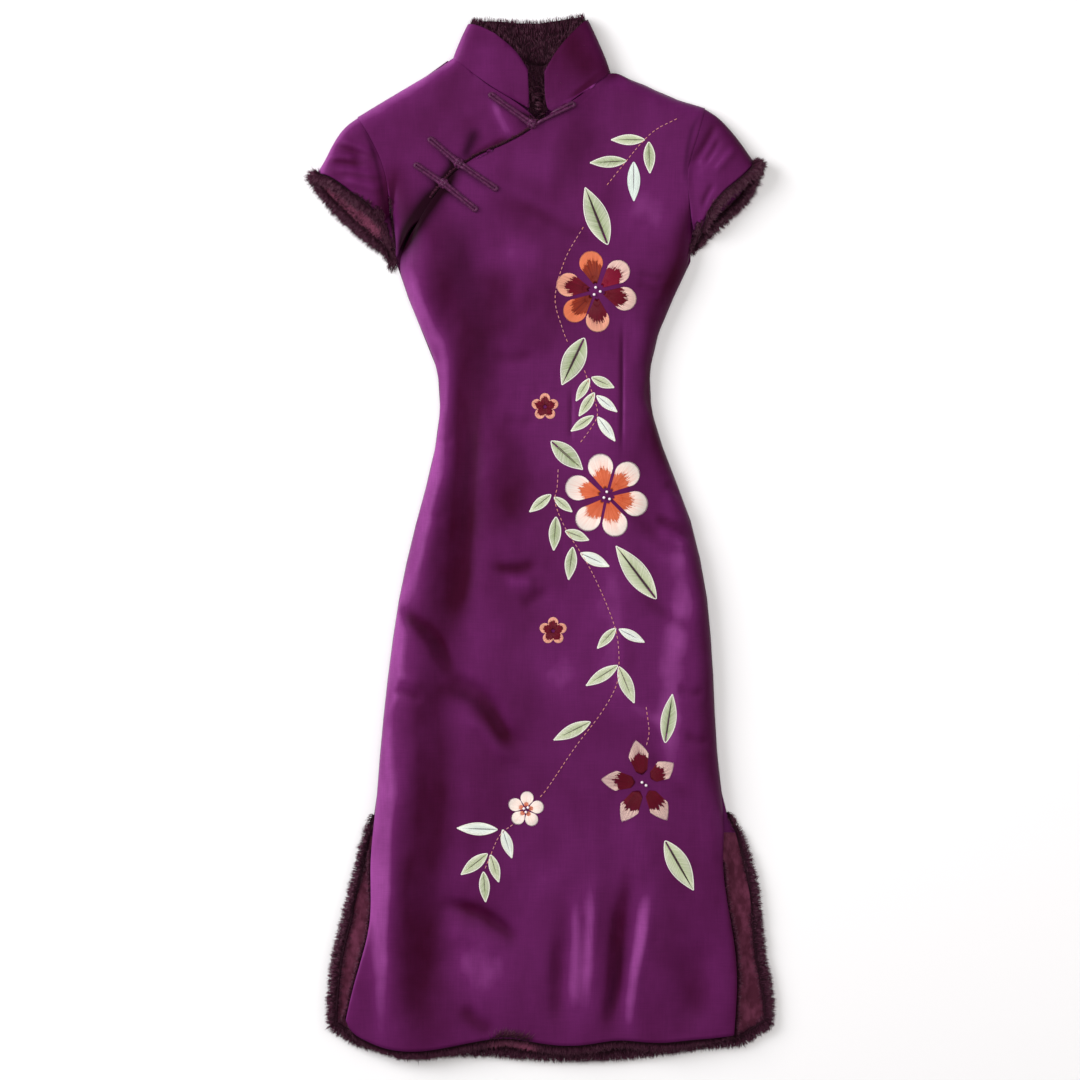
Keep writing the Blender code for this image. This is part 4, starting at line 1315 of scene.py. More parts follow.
def repeat(template: Template, count: int, points: np.ndarray) -> Tuple[np.ndarray, list]:
    """Lists the faces of many copies of a template.

    Args:
        template: The shape that is copied.
        count: How many copies there are.
        points: The copies' points, in order.

    Returns:
        The points as rows, and the faces.
    """
    step = len(template.points)
    faces = [
        tuple(index + number * step for index in face)
        for number in range(count)
        for face in template.faces
    ]
    return points.reshape(-1, 3), faces


def unit(rows: np.ndarray) -> np.ndarray:
    """Makes each row one unit long."""
    return rows / np.maximum(np.linalg.norm(rows, axis=-1, keepdims=True), 1e-9)


# The cloth as a ground


class Ground:
    """The finished cloth, as what trimmings rest on."""

    def __init__(self, pieces: Sequence[Piece]) -> None:
        """Gathers the cloth.

        Args:
            pieces: The sheets that trimmings may rest on.
        """
        self.tree = tree_of(pieces)

    def height(self, place: Place) -> float:
        """How high the cloth lies at a place.

        Args:
            place: X and y in millimetres.

        Returns:
            Its height in millimetres, or 0 beside the cloth.
        """
        met = self.tree.ray_cast(Vector((place[0] * MM, place[1] * MM, 1.0)), Vector((0.0, 0.0, -1.0)))
        return met[0].z / MM if met[0] else 0.0

    def away(self, places: np.ndarray) -> np.ndarray:
        """Which way leads away from the cloth, level with the floor.

        Args:
            places: Places in metres, one row each.

        Returns:
            Unit vectors, or zero where a place lies on or under the cloth.
        """
        ways = np.zeros_like(places)
        for row, place in enumerate(places):
            nearest = self.tree.find_nearest(Vector(place))[0]
            way = Vector(place) - nearest
            way.z = 0.0
            if way.length > 0.0004:
                ways[row] = way.normalized()
        return ways


# Fur


# metres: how far a clump gathers hairs, how deep they are rooted, and how low a hair and its sides may lie
CLUMP_REACH = 0.006
ROOT_DEPTH = 0.0006
LOWEST_HAIR = 0.0005
LOWEST_SIDE = 0.0001

# how strongly a clump draws its hairs, how much further past the form the longest tips reach, and how many
# roots are matched to their clumps at a time
CLUMP_PULL = 0.62
LONGEST_PAST = 2.4
ROOTS_AT_A_TIME = 2000

# where along a hair, and how pale, the skin under the hairs is coloured
SKIN_ALONG = 0.12
SKIN_TONE = 0.05


@dataclass(frozen=True)
class FurPatch:
    """Hairs that lie on the cloth beside a strip of fur, along a route."""

    route: Tuple[Place, ...]
    width: float
    hairs: int
    way: Place
    length: float = 8.0
    lining: float = 1.0

    def strands(self, ground: Ground, chance: np.random.Generator) -> np.ndarray:
        """Works out each hair's root, middle and tip.

        Args:
            ground: What the hairs lie on.
            chance: The seeded draw.

        Returns:
            Three places for each hair, in metres.
        """
        curve = smooth_curve(self.route)
        picked = chance.integers(0, len(curve) - 1, self.hairs)
        share = chance.random((self.hairs, 1))
        flat = curve[picked] * (1.0 - share) + curve[picked + 1] * share
        flat = flat + chance.uniform(-1.0, 1.0, (self.hairs, 2)) * self.width / 2
        height = np.array([ground.height(tuple(place)) for place in flat])
        roots = np.column_stack([flat, height])
        run = unit(np.array([*self.way, 0.0]) + chance.normal(0.0, 0.4, (self.hairs, 3)))
        run[:, 2] = chance.uniform(0.05, 0.35, self.hairs)
        long = self.length * chance.uniform(0.5, 1.0, (self.hairs, 1))
        middle = roots + run * long * 0.5 + np.array([0.0, 0.0, 0.6])
        return np.stack([roots, middle, roots + run * long], axis=1) * MM


@dataclass
class FurTrim:
    """A strip of fur: its skin, and the hairs that stand out of it."""

    node: str
    hairs: int
    length: float = 13.0
    inset: Tuple[float, float] = (4.0, 2.0)
    comb: Axes = (0.0, 0.0, 0.0)
    fluff: float = 0.35
    lift: float = 0.45
    pale: float = 0.8
    thickness: float = 0.34
    clump: int = 14
    past: float = 2.0
    tuck: float = 1.3
    patches: Tuple[FurPatch, ...] = ()
    stains: Tuple[Crease, ...] = ()
    seed: int = 1

    def skin(self, ground: Ground) -> Piece:
        """Makes the skin: it lies inside the strip's outer form, and is tucked against the cloth.

        Args:
            ground: The cloth that the strip runs along.

        Returns:
            The new object.
        """
        piece = copy_of_node(f"{self.node}_pile", self.node)
        places = points_of(piece)
        normals = normals_of(piece)
        facing = (ground.away(places) * normals).sum(axis=1)
        drawn = np.where(facing > -0.1, self.inset[0], -self.tuck)
        places -= normals * np.column_stack([drawn, drawn, np.full(len(drawn), self.inset[1])]) * MM
        places[:, 2] = np.maximum(places[:, 2], 0.0)
        move_points(piece, places)
        return piece

    def within(self, tips: np.ndarray, chance: np.random.Generator) -> np.ndarray:
        """Holds the hairs' tips to a little past the strip's outer form.

        Args:
            tips: The tips.
            chance: The seeded draw.

        Returns:
            The tips' new places.
        """
        form = copy_of_node("fur_form", self.node)
        tree = tree_of([form])
        bpy.data.objects.remove(form)
        held = tips.copy()
        past = self.past * MM * chance.uniform(0.0, 1.0, len(tips)) ** 2 * LONGEST_PAST
        for row, tip in enumerate(tips.tolist()):
            nearest, normal, _, gap = tree.find_nearest(Vector(tip))
            if gap > past[row] and (Vector(tip) - nearest).dot(normal) > 0.0:
                held[row] = nearest + (Vector(tip) - nearest) * (past[row] / gap)
        return held

    def roots(self, skin: Piece, chance: np.random.Generator) -> Tuple[np.ndarray, np.ndarray]:
        """Picks where the hairs grow.

        Args:
            skin: The skin.
            chance: The seeded draw.

        Returns:
            Their roots and the skin's normals there.
        """
        mesh = skin.data
        mesh.calc_loop_triangles()
        corners = np.array([tuple(triangle.vertices) for triangle in mesh.loop_triangles])
        points = points_of(skin)
        first, second, third = (points[corners[:, column]] for column in range(3))
        cross = np.cross(second - first, third - first)
        area = np.linalg.norm(cross, axis=1) / 2
        normal = unit(cross)
        weight = area * smooth_step((normal[:, 2] + 0.75) / 0.5)
        picked = chance.choice(len(area), self.hairs, p=weight / weight.sum())
        shares = chance.random((self.hairs, 2))
        over = shares.sum(axis=1) > 1.0
        shares[over] = 1.0 - shares[over]
        roots = (
            first[picked]
            + shares[:, :1] * (second - first)[picked]
            + shares[:, 1:] * (third - first)[picked]
        )
        return roots, normal[picked]

    def strands(
        self, roots: np.ndarray, normals: np.ndarray, ground: Ground, chance: np.random.Generator
    ) -> np.ndarray:
        """Works out each hair's root, middle and tip.

        Args:
            roots: Where the hairs grow.
            normals: The skin's normals there.
            ground: The cloth that the hairs are combed away from.
            chance: The seeded draw.

        Returns:
            Three places for each hair.
        """
        outward = ground.away(roots)
        flow = unit(outward + 0.8 * normals * np.array([1.0, 1.0, 0.0]) + np.array(self.comb))
        wild = chance.normal(0.0, 1.0, (len(roots), 3))
        start = unit(flow + self.lift * normals + self.fluff * wild)
        long = self.length * MM * chance.uniform(0.55, 1.0, (len(roots), 1))
        middle = roots + start * long * 0.5
        end = unit(start + 0.5 * flow + 0.5 * self.fluff * chance.normal(0.0, 1.0, (len(roots), 3)))
        tips = middle + end * long * 0.5
        leaders = chance.choice(len(roots), max(1, len(roots) // self.clump), replace=False)
        nearest = np.empty(len(roots), int)
        for begin in range(0, len(roots), ROOTS_AT_A_TIME):
            few = slice(begin, begin + ROOTS_AT_A_TIME)
            gap = roots[few, None] - roots[None, leaders]
            nearest[few] = (gap ** 2).sum(axis=2).argmin(axis=1)
        gathered = tips[leaders][nearest]
        gap = np.maximum(np.linalg.norm(gathered - tips, axis=1), CLUMP_REACH)
        pull = np.clip(CLUMP_REACH / gap, 0.0, 1.0) * CLUMP_PULL
        tips += (gathered - tips) * pull[:, None]
        middle += (gathered - tips) * pull[:, None] * 0.2
        tips = self.within(tips, chance)
        middle = 0.5 * middle + 0.25 * (roots + tips)
        found = np.stack([roots - normals * ROOT_DEPTH, middle, tips], axis=1)
        found[:, :, 2] = np.maximum(found[:, :, 2], LOWEST_HAIR)
        return found

    def make(self, material: Material, ground: Ground, bed: Ground, hair: Template) -> Piece:
        """Makes the fur.

        Args:
            material: The fur's finish.
            ground: The cloth that it is combed away from.
            bed: The cloth that its patches lie on.
            hair: The modelled hair.

        Returns:
            The finished piece.
        """
        chance = np.random.default_rng(self.seed)
        skin = self.skin(ground)
        roots, normals = self.roots(skin, chance)
        strands = self.strands(roots, normals, ground, chance)
        lining = np.clip(relief_of(self.stains, roots[:, :2] / MM), 0.0, 1.0)
        for patch in self.patches:
            strands = np.vstack([strands, patch.strands(bed, chance)])
            lining = np.concatenate([lining, np.full(patch.hairs, patch.lining)])
        along = unit(strands[:, 2] - strands[:, 0])
        side = unit(np.cross(along, np.array([0.31, 0.17, 0.93])))
        other = np.cross(along, side)
        count = len(strands)
        width = self.thickness * MM * chance.uniform(0.6, 1.25, (count, 1, 1))
        level = np.round(hair.points[:, 2] * 2).astype(int)
        copies = (
            strands[:, level]
            + width * hair.points[None, :, :1] * side[:, None]
            + width * hair.points[None, :, 1:2] * other[:, None]
        )
        copies[:, :, 2] = np.maximum(copies[:, :, 2], LOWEST_SIDE)
        points, faces = repeat(hair, count, copies)
        base = points_of(skin)
        offset = len(base)
        skin_faces = [tuple(face.vertices) for face in skin.data.polygons]
        piece = new_piece(
            f"{self.node}_hair",
            np.vstack([base, points]),
            skin_faces + [tuple(index + offset for index in face) for face in faces],
        )
        bpy.data.objects.remove(skin)
        tone = self.pale * chance.random((count, 1)) ** 1.4 * np.ones(len(hair.points))
        kept = (
            ("along", SKIN_ALONG, np.tile(hair.points[:, 2], count)),
            ("tone", SKIN_TONE, tone.ravel()),
            ("lining", 0.0, np.repeat(lining, len(hair.points))),
        )
        for name, on_skin, on_hairs in kept:
            store_values(piece, name, np.concatenate([np.full(offset, on_skin), on_hairs]))
        dress(piece, material, (self.node,))
        return piece


# hairs that lie on the cloth beside the strips, and where the hem fur is mauve
LEFT_CUFF_PATCHES = (
    FurPatch(((-262, 422), (-248, 410), (-228, 393), (-210, 377), (-194, 362)), 11.0, 1500, (-0.5, -0.7)),
    FurPatch(
        ((-266, 416), (-250, 402), (-230, 385), (-212, 368), (-196, 352)), 7.0, 900, (-0.5, -0.7), 9.0, 0.25
    ),
    # these three lie dark along the left underarm seam, across its gap, as painted shade in the seam
    FurPatch(((-196, 388), (-190, 366), (-183, 344), (-178, 322)), 11.0, 1100, (-0.2, -0.9), 9.0, 0.0),
    FurPatch(((-188, 360), (-181, 340), (-178, 326)), 6.0, 700, (-0.1, -0.9), 7.0, 0.0),
    FurPatch(((-181, 402), (-178.5, 372), (-177, 348), (-176, 330)), 3.0, 420, (0.1, -0.9), 5.0, 0.0),
)
RIGHT_CUFF_PATCHES = (
    FurPatch(((188, 372), (183, 354), (179, 340)), 8.0, 800, (0.2, -0.9), 7.0, 0.0),
)
NECK_PATCHES = (
    FurPatch(((-7, 582), (-7, 540), (-6, 504)), 18.0, 2000, (0.1, -0.9), 10.0, 0.0),
)
HEM_PATCHES = (
    FurPatch(((-66, -604), (-46, -599), (-28, -601), (-10, -607)), 3.0, 260, (0.4, 0.9), 15.0, 0.0),
)
HEM_STAINS = (
    Crease(((-70, -612), (-34, -612), (0, -614)), 7.0, 1.3),
)

FUR_TRIMS = (
    FurTrim("front_fur", 15000, patches=HEM_PATCHES, stains=HEM_STAINS, seed=11),
    FurTrim("back_fur", 17000, inset=(4.0, 3.0), pale=1.0, seed=12),
    FurTrim("collar_fur", 6000, comb=(0.0, 0.9, 0.1), patches=NECK_PATCHES, seed=13),
    # the opening's fur gets no pale tips and reads near black: its own dark colour, and painted shade along
    # the flap's edge
    FurTrim("opening_fur", 1500, length=4.0, inset=(3.0, 1.8), pale=0.0, tuck=0.0, seed=14),
    FurTrim("cuff_fur_left", 5000, inset=(2.0, 2.0), past=4.0, patches=LEFT_CUFF_PATCHES, seed=15),
    FurTrim(
        "cuff_fur_right", 5000, inset=(2.5, 2.5), pale=1.4, past=3.0, patches=RIGHT_CUFF_PATCHES, seed=16
    ),
)


# Frogs


@dataclass
class Frog:
    """A frog fastening: a loop of cord to each side, and the knot between them."""

    name: str
    knot: Place
    left: Place
    right: Place
    cord: float = 3.9
    spread: float = 4.1
    knot_radius: float = 6.0
    eye: float = 0.56
    pinch: float = 0.35
    eye_turn: float = 130.0
    rise_at_knot: float = 1.4
    windings: Tuple[int, int] = (3, 4)

    def loop(self, side: str, end: Place, ground: Ground) -> Piece:
        """Makes one loop: two cords side by side that turn back round a small eye.

        Args:
            side: left or right.
            end: Where it ends.
            ground: The cloth that it lies on.

        Returns:
            The new object.
        """
        knot, tip = np.array(self.knot, float), np.array(end, float)
        run = np.linalg.norm(tip - knot)
        way = (tip - knot) / run
        across = np.array([-way[1], way[0]])
        eye = self.spread * self.eye
        reach = np.linspace(self.knot_radius * 0.5, run - 2.2 * eye, 14)
        neck = self.spread / 2 - self.pinch * np.sin(np.pi * (reach - reach[0]) / (reach[-1] - reach[0]))
        turn = np.radians(np.linspace(self.eye_turn, -self.eye_turn, 12))
        out = knot + reach[:, None] * way + neck[:, None] * across
        bend = tip - way * eye + eye * (np.cos(turn)[:, None] * way + np.sin(turn)[:, None] * across)
        back = (knot + reach[:, None] * way - neck[:, None] * across)[::-1]
        route = np.vstack([out, bend, back])
        heights = np.array([ground.height(place) for place in route])
        padded = np.pad(heights, 2, mode="edge")
        smoothed = np.maximum(heights, np.convolve(padded, np.ones(5) / 5, mode="valid"))
        heights = smoothed + self.cord * 0.42
        lift = np.exp(-((np.linalg.norm(route - knot, axis=1) / (1.3 * self.knot_radius)) ** 2))
        places = np.column_stack([route, heights + self.rise_at_knot * lift])
        return tube(f"frog_{self.name}_cord_{side}", places, self.cord / 2, closed=False)

    def ball(self, ground: Ground) -> Piece:
        """Makes the knot: one cord that winds over and under itself round a ball.

        Args:
            ground: The cloth that it lies on.

        Returns:
            The new object.
        """
        cord = self.cord / 2
        turn = np.linspace(0.0, 2 * np.pi, 260, endpoint=False)
        round_it, over_it = self.windings
        longitude = round_it * turn
        latitude = 1.02 * np.sin(over_it * turn)
        reach = self.knot_radius - cord + 0.55 * np.cos(2 * over_it * turn + 0.6)
        centre = ground.height(self.knot) + self.knot_radius * 0.72
        route = np.column_stack([
            self.knot[0] + reach * np.cos(latitude) * np.cos(longitude),
            self.knot[1] + reach * np.cos(latitude) * np.sin(longitude),
            centre + 0.86 * reach * np.sin(latitude),
        ])
        return tube(f"frog_{self.name}_button", route, cord, closed=True)

    def make(self, material: Material, ground: Ground) -> None:
        """Makes the frog.

        Args:
            material: The cords' finish.
            ground: The cloth that it lies on.
        """
        for side, end in (("left", self.left), ("right", self.right)):
            dress(self.loop(side, end, ground), material, (f"frog_{self.name}_loop_{side}",))
        dress(self.ball(ground), material, (f"frog_{self.name}_knot",))


def tube(name: str, route: np.ndarray, radius: float, closed: bool) -> Piece:
    """Makes a round cord along a route.

    Args:
        name: The piece's name.
        route: The places that it passes, in millimetres.
        radius: The cord's radius in millimetres.
        closed: Whether it joins its own start.

    Returns:
        The new object, as a mesh.
    """
    curve = bpy.data.curves.new(name, "CURVE")
    curve.dimensions = "3D"
    curve.bevel_depth = radius * MM
    curve.bevel_resolution = 2
    curve.use_fill_caps = not closed
    curve.resolution_u = 3
    spline = curve.splines.new("NURBS")
    spline.points.add(len(route) - 1)
    for point, place in zip(spline.points, route):
        point.co = (*(place * MM), 1.0)
    spline.order_u = 3
    spline.use_endpoint_u = not closed
    spline.use_cyclic_u = closed
    stand_alone(new_object(name, curve))
    bpy.ops.object.convert(target="MESH")
    piece = bpy.context.object
    piece.data.shade_smooth()
    return piece


FROGS = (
    Frog("neck", (-12, 488), (-62, 524), (38, 512)),
    Frog("upper", (-99, 441), (-134, 471), (-54, 410)),
    Frog("lower", (-117, 417), (-151, 440), (-78, 385)),
)


# Embroidery


class Floss(Enum):
    """The floss on the embroiderer's reels."""

    SAGE = (0.30, 0.39, 0.17)
    PALE_SAGE = (0.44, 0.52, 0.28)
    CREAM = (0.88, 0.87, 0.77)
    ICE = (0.74, 0.82, 0.76)
    MOSS = (0.030, 0.055, 0.012)
    OXBLOOD = (0.085, 0.002, 0.008)
    CRIMSON = (0.22, 0.004, 0.028)
    RUST = (0.52, 0.070, 0.018)
    CORAL = (0.84, 0.25, 0.12)
    PEACH = (0.93, 0.47, 0.33)
    BLUSH = (0.98, 0.72, 0.63)
    WHITE = (0.96, 0.87, 0.80)
    ROSE = (0.66, 0.30, 0.31)


# how high each kind of stitch stands, and how deep all of them start in the cloth, in millimetres
SATIN_HEIGHT = 0.36
OUTLINE_HEIGHT = 0.50
RIB_HEIGHT = 0.52
STEM_HEIGHT = 0.8
STITCH_START = 0.12


class Stitch(NamedTuple):
    """One stitch of floss, from place to place in millimetres."""

    start: Place
    end: Place
    width: float
    height: float
    start_colour: Colour
    end_colour: Colour


def blend_colours(first: Colour, second: Colour, share: float) -> Colour:
    """Mixes two colours, with this share of the second."""
    return tuple(a + (b - a) * share for a, b in zip(first, second))


@dataclass
class Leaf:
    """A leaf in satin stitch, slanting from its midrib, with a paler outline."""

    base: Place
    tip: Place
    slimness: float = 0.32
    inside: Floss = Floss.SAGE
    edge: Floss = Floss.CREAM
    rib: Optional[Floss] = None
    pitch: float = 0.75
    slant: float = 0.10
    slit: float = 0.055
    outline_width: float = 1.9
    outline_step: float = 2.4
    rib_width: float = 1.0
    rib_step: float = 2.0
    rib_start: float = 0.2
    rib_span: float = 0.62

    def axes(self) -> Tuple[np.ndarray, np.ndarray, np.ndarray, float]:
        """Works out how the leaf lies.

        Returns:
            Its base, the way to its tip, the way across it, and its length.
        """
        base, tip = np.array(self.base, float), np.array(self.tip, float)
        length = np.linalg.norm(tip - base)
        way = (tip - base) / length
        return base, way, np.array([-way[1], way[0]]), length

    def edge_at(self, share: float, side: float) -> np.ndarray:
        """A place on the leaf's edge.

        Args:
            share: How far along the leaf it lies.
            side: -1 for one edge, 1 for the other.

        Returns:
            Its x and y in millimetres.
        """
        base, way, across, length = self.axes()
        bulge = math.sin(math.pi * min(max(share, 0.0), 1.0) ** 0.92)
        return base + way * length * share + across * side * (length * self.slimness / 2) * bulge ** 0.9

    def stitches(self, chance: np.random.Generator) -> Iterable[Stitch]:
        """Sews the leaf.

        Args:
            chance: The seeded draw.

        Yields:
            Its stitches.
        """
        base, way, across, length = self.axes()
        half = length * self.slimness / 2
        count = max(6, int(length / self.pitch))
        inside, edge = self.inside.value, self.edge.value
        slit = self.slit if self.rib else 0.0
        for side in (-1.0, 1.0):
            for number in range(count):
                share = (number + 0.5) / count
                start = base + way * length * max(share - self.slant, 0.01)
                start = start + across * side * half * slit
                end = self.edge_at(min(share + 0.02, 0.99), side)
                tone = blend_colours(inside, edge, float(np.clip(chance.normal(0.16, 0.13), 0.0, 0.6)))
                paler = blend_colours(tone, edge, 0.45)
                yield Stitch(tuple(start), tuple(end), self.pitch * 1.5, SATIN_HEIGHT, tone, paler)
            steps = max(5, int(length / self.outline_step))
            for number in range(steps):
                first = self.edge_at(number / steps, side)
                last = self.edge_at((number + 1.25) / steps, side)
                yield Stitch(tuple(first), tuple(last), self.outline_width, OUTLINE_HEIGHT, edge, edge)
        if self.rib:
            steps = int(length * self.rib_span / self.rib_step)
            tone = self.rib.value
            for number in range(steps):
                first = base + way * length * (self.rib_start + self.rib_span * number / steps)
                last = base + way * length * (self.rib_start + self.rib_span * (number + 1.3) / steps)
                yield Stitch(tuple(first), tuple(last), self.rib_width, RIB_HEIGHT, tone, tone)


@dataclass
class Petal:
    """A petal in long and short stitches that fan out from its root."""

    root: Place
    angle: float
    length: float
    round_radius: float
    inner: Floss
    middle: Floss
    outer: Floss
    change: float = 0.58
    pointed: bool = False
    pitch: float = 0.78
    foot_share: float = 0.42
    broadest_at: float = 0.60
    fall: float = 0.40

    def spread(self) -> float:
        """How far the petal's sides lie from its middle, as seen from its root, in radians."""
        broadest = self.length * self.broadest_at if self.pointed else self.length - self.round_radius
        return math.asin(min((self.round_radius - self.foot()) / broadest, 0.98))

    def foot(self) -> float:
        """Half the width at which the petal starts, in millimetres."""
        return self.round_radius * self.foot_share if self.pointed else 0.0

    def reach(self, share: float) -> float:
        """How far the petal runs from its root along a ray.

        Args:
            share: Where the ray lies, from -1 at one side to 1 at the other.

        Returns:
            The length in millimetres.
        """
        if self.pointed:
            return self.length * (1.0 - self.fall * abs(share) ** 1.05)
        gap = self.length - self.round_radius
        lean = share * self.spread()
        inside = max(self.round_radius ** 2 - (gap * math.sin(lean)) ** 2, 0.0)
        return gap * math.cos(lean) + math.sqrt(inside)

    def stitches(self, chance: np.random.Generator) -> Iterable[Stitch]:
        """Sews the petal.

        Args:
            chance: The seeded draw.

        Yields:
            Its stitches.
        """
        gap = self.length - self.round_radius
        spread = self.spread()
        count = max(7, int(2 * spread * self.length * 0.88 / self.pitch))
        root = np.array(self.root, float)
        middle = math.radians(self.angle)
        across = np.array([-math.sin(middle), math.cos(middle)])
        for number in range(count):
            share = -1.0 + 2.0 * (number + 0.5) / count
            ray = middle + share * spread
            way = np.array([math.cos(ray), math.sin(ray)])
            foot = root + across * share * self.foot()
            reach = self.reach(share)
            turn = self.change * gap * 1.25 * (1.0 + 0.10 * math.cos(share * math.pi))
            turn += chance.normal(0.0, 0.045) * reach
            turn = min(max(turn, reach * 0.30), reach * (0.97 if self.pointed else 0.86))
            wave = blend_colours(self.middle.value, self.outer.value, float(chance.uniform(0.45, 1.0)))
            yield self.sewn(foot, way, turn * 0.94, reach, self.pitch * 1.45, wave, self.outer.value)
            deep = blend_colours(self.inner.value, self.middle.value, float(chance.uniform(0.0, 0.35)))
            shade = blend_colours(self.inner.value, self.middle.value, float(chance.uniform(0.2, 0.9)))
            start = reach * (0.04 + 0.20 * abs(share) ** 2 if self.pointed else 0.10 + 0.16 * (number % 2))
            end = turn * float(chance.uniform(1.0, 1.14))
            yield self.sewn(foot, way, start, end, self.pitch * 1.3, deep, shade)

    def sewn(
        self, root: np.ndarray, way: np.ndarray, start: float, end: float, width: float,
        first: Colour, last: Colour,
    ) -> Stitch:
        """Makes one stitch on a ray.

        Args:
            root: The petal's root.
            way: The ray's direction.
            start: Where it starts along the ray.
            end: Where it ends.
            width: Its width.
            first: Its colour at its start.
            last: Its colour at its end.

        Returns:
            The stitch.
        """
        return Stitch(tuple(root + way * start), tuple(root + way * end), width, SATIN_HEIGHT, first, last)


@dataclass
class Vine:
    """A stem in running stitch."""

    route: Tuple[Place, ...]
    floss: Floss = Floss.ROSE
    dash: float = 3.9
    pitch: float = 6.0
    width: float = 1.45

    def stitches(self, chance: np.random.Generator) -> Iterable[Stitch]:
        """Sews the stem.

        Args:
            chance: The seeded draw.

        Yields:
            Its stitches.
        """
        curve = smooth_curve(self.route, 14)
        steps = np.linalg.norm(np.diff(curve, axis=0), axis=1)
        run = np.concatenate([[0.0], np.cumsum(steps)])
        place = 0.0
        while place + self.dash < run[-1]:
            ends = [
                tuple(float(np.interp(at, run, curve[:, axis])) for axis in range(2))
                for at in (place, place + self.dash)
            ]
            tone = blend_colours(self.floss.value, Floss.CORAL.value, float(chance.uniform(0.0, 0.4)))
            yield Stitch(ends[0], ends[1], self.width, STEM_HEIGHT, tone, tone)
            place += self.pitch * float(chance.uniform(0.94, 1.06))


def sew(
    name: str, stitches: Sequence[Stitch], ground: Ground, template: Template, material: Material
) -> Piece:
    """Makes one piece of many stitches that follow the cloth.

    Args:
        name: The piece's name.
        stitches: The stitches.
        ground: The cloth that they are sewn to.
        template: The modelled stitch.
        material: The floss's finish.

    Returns:
        The finished piece.
    """
    copies = np.empty((len(stitches), len(template.points), 3))
    colours = np.empty((len(stitches), len(template.points), 3))
    share = (template.points[:, 2] + 1.0) / 2.0
    for row, stitch in enumerate(stitches):
        start, end = np.array(stitch.start), np.array(stitch.end)
        way = unit((end - start)[None])[0]
        across = np.array([-way[1], way[0]])
        flat = (
            start + share[:, None] * (end - start)
            + template.points[:, :1] * across * stitch.width / 2
        )
        levels = {}
        for index, at in enumerate(share):
            if at not in levels:
                levels[at] = ground.height(tuple(start + at * (end - start)))
            rise = STITCH_START + stitch.height * (template.points[index, 1] + 0.5) / 1.5
            copies[row, index] = (*flat[index], levels[at] + rise)
        first, last = np.array(stitch.start_colour), np.array(stitch.end_colour)
        colours[row] = first * (1.0 - share[:, None]) + last * share[:, None]
    points, faces = repeat(template, len(stitches), copies * MM)
    piece = new_piece(name, points, faces)
    store_colours(piece, "floss", colours.reshape(-1, 3))
    dress(piece, material)
    return piece


def photo_place(across: float, down: float) -> Place:
    """Turns a place in the picture's pixels into millimetres on the garment."""
    return ((across - PHOTO_ORIGIN[0]) * PIXEL, (PHOTO_ORIGIN[1] - down) * PIXEL)


@dataclass
class Blossom:
    """A flower: where it is, and how its petals lie."""

    centre: Place
    angles: Tuple[float, ...]
    reach: float
    round_radius: float
    inner: Floss
    middle: Floss
    outer: Floss
    heart: float = 4.0
    change: float = 0.58
    pointed: bool = False
    odd: Tuple[Tuple[int, Floss, Floss, Floss], ...] = ()
    shares: Tuple[float, ...] = ()

    def petals(self) -> Iterable[Petal]:
        """Lists the flower's petals.

        Yields:
            Each petal.
        """
        others = {number: reels for number, *reels in self.odd}
        for number, angle in enumerate(self.angles):
            inner, middle, outer = others.get(number, (self.inner, self.middle, self.outer))
            root = (
                self.centre[0] + self.heart * math.cos(math.radians(angle)),
                self.centre[1] + self.heart * math.sin(math.radians(angle)),
            )
            reach = self.reach * (self.shares[number] if self.shares else 1.0)
            yield Petal(
                root, angle, reach - self.heart, self.round_radius, inner, middle, outer,
                self.change, self.pointed,
            )


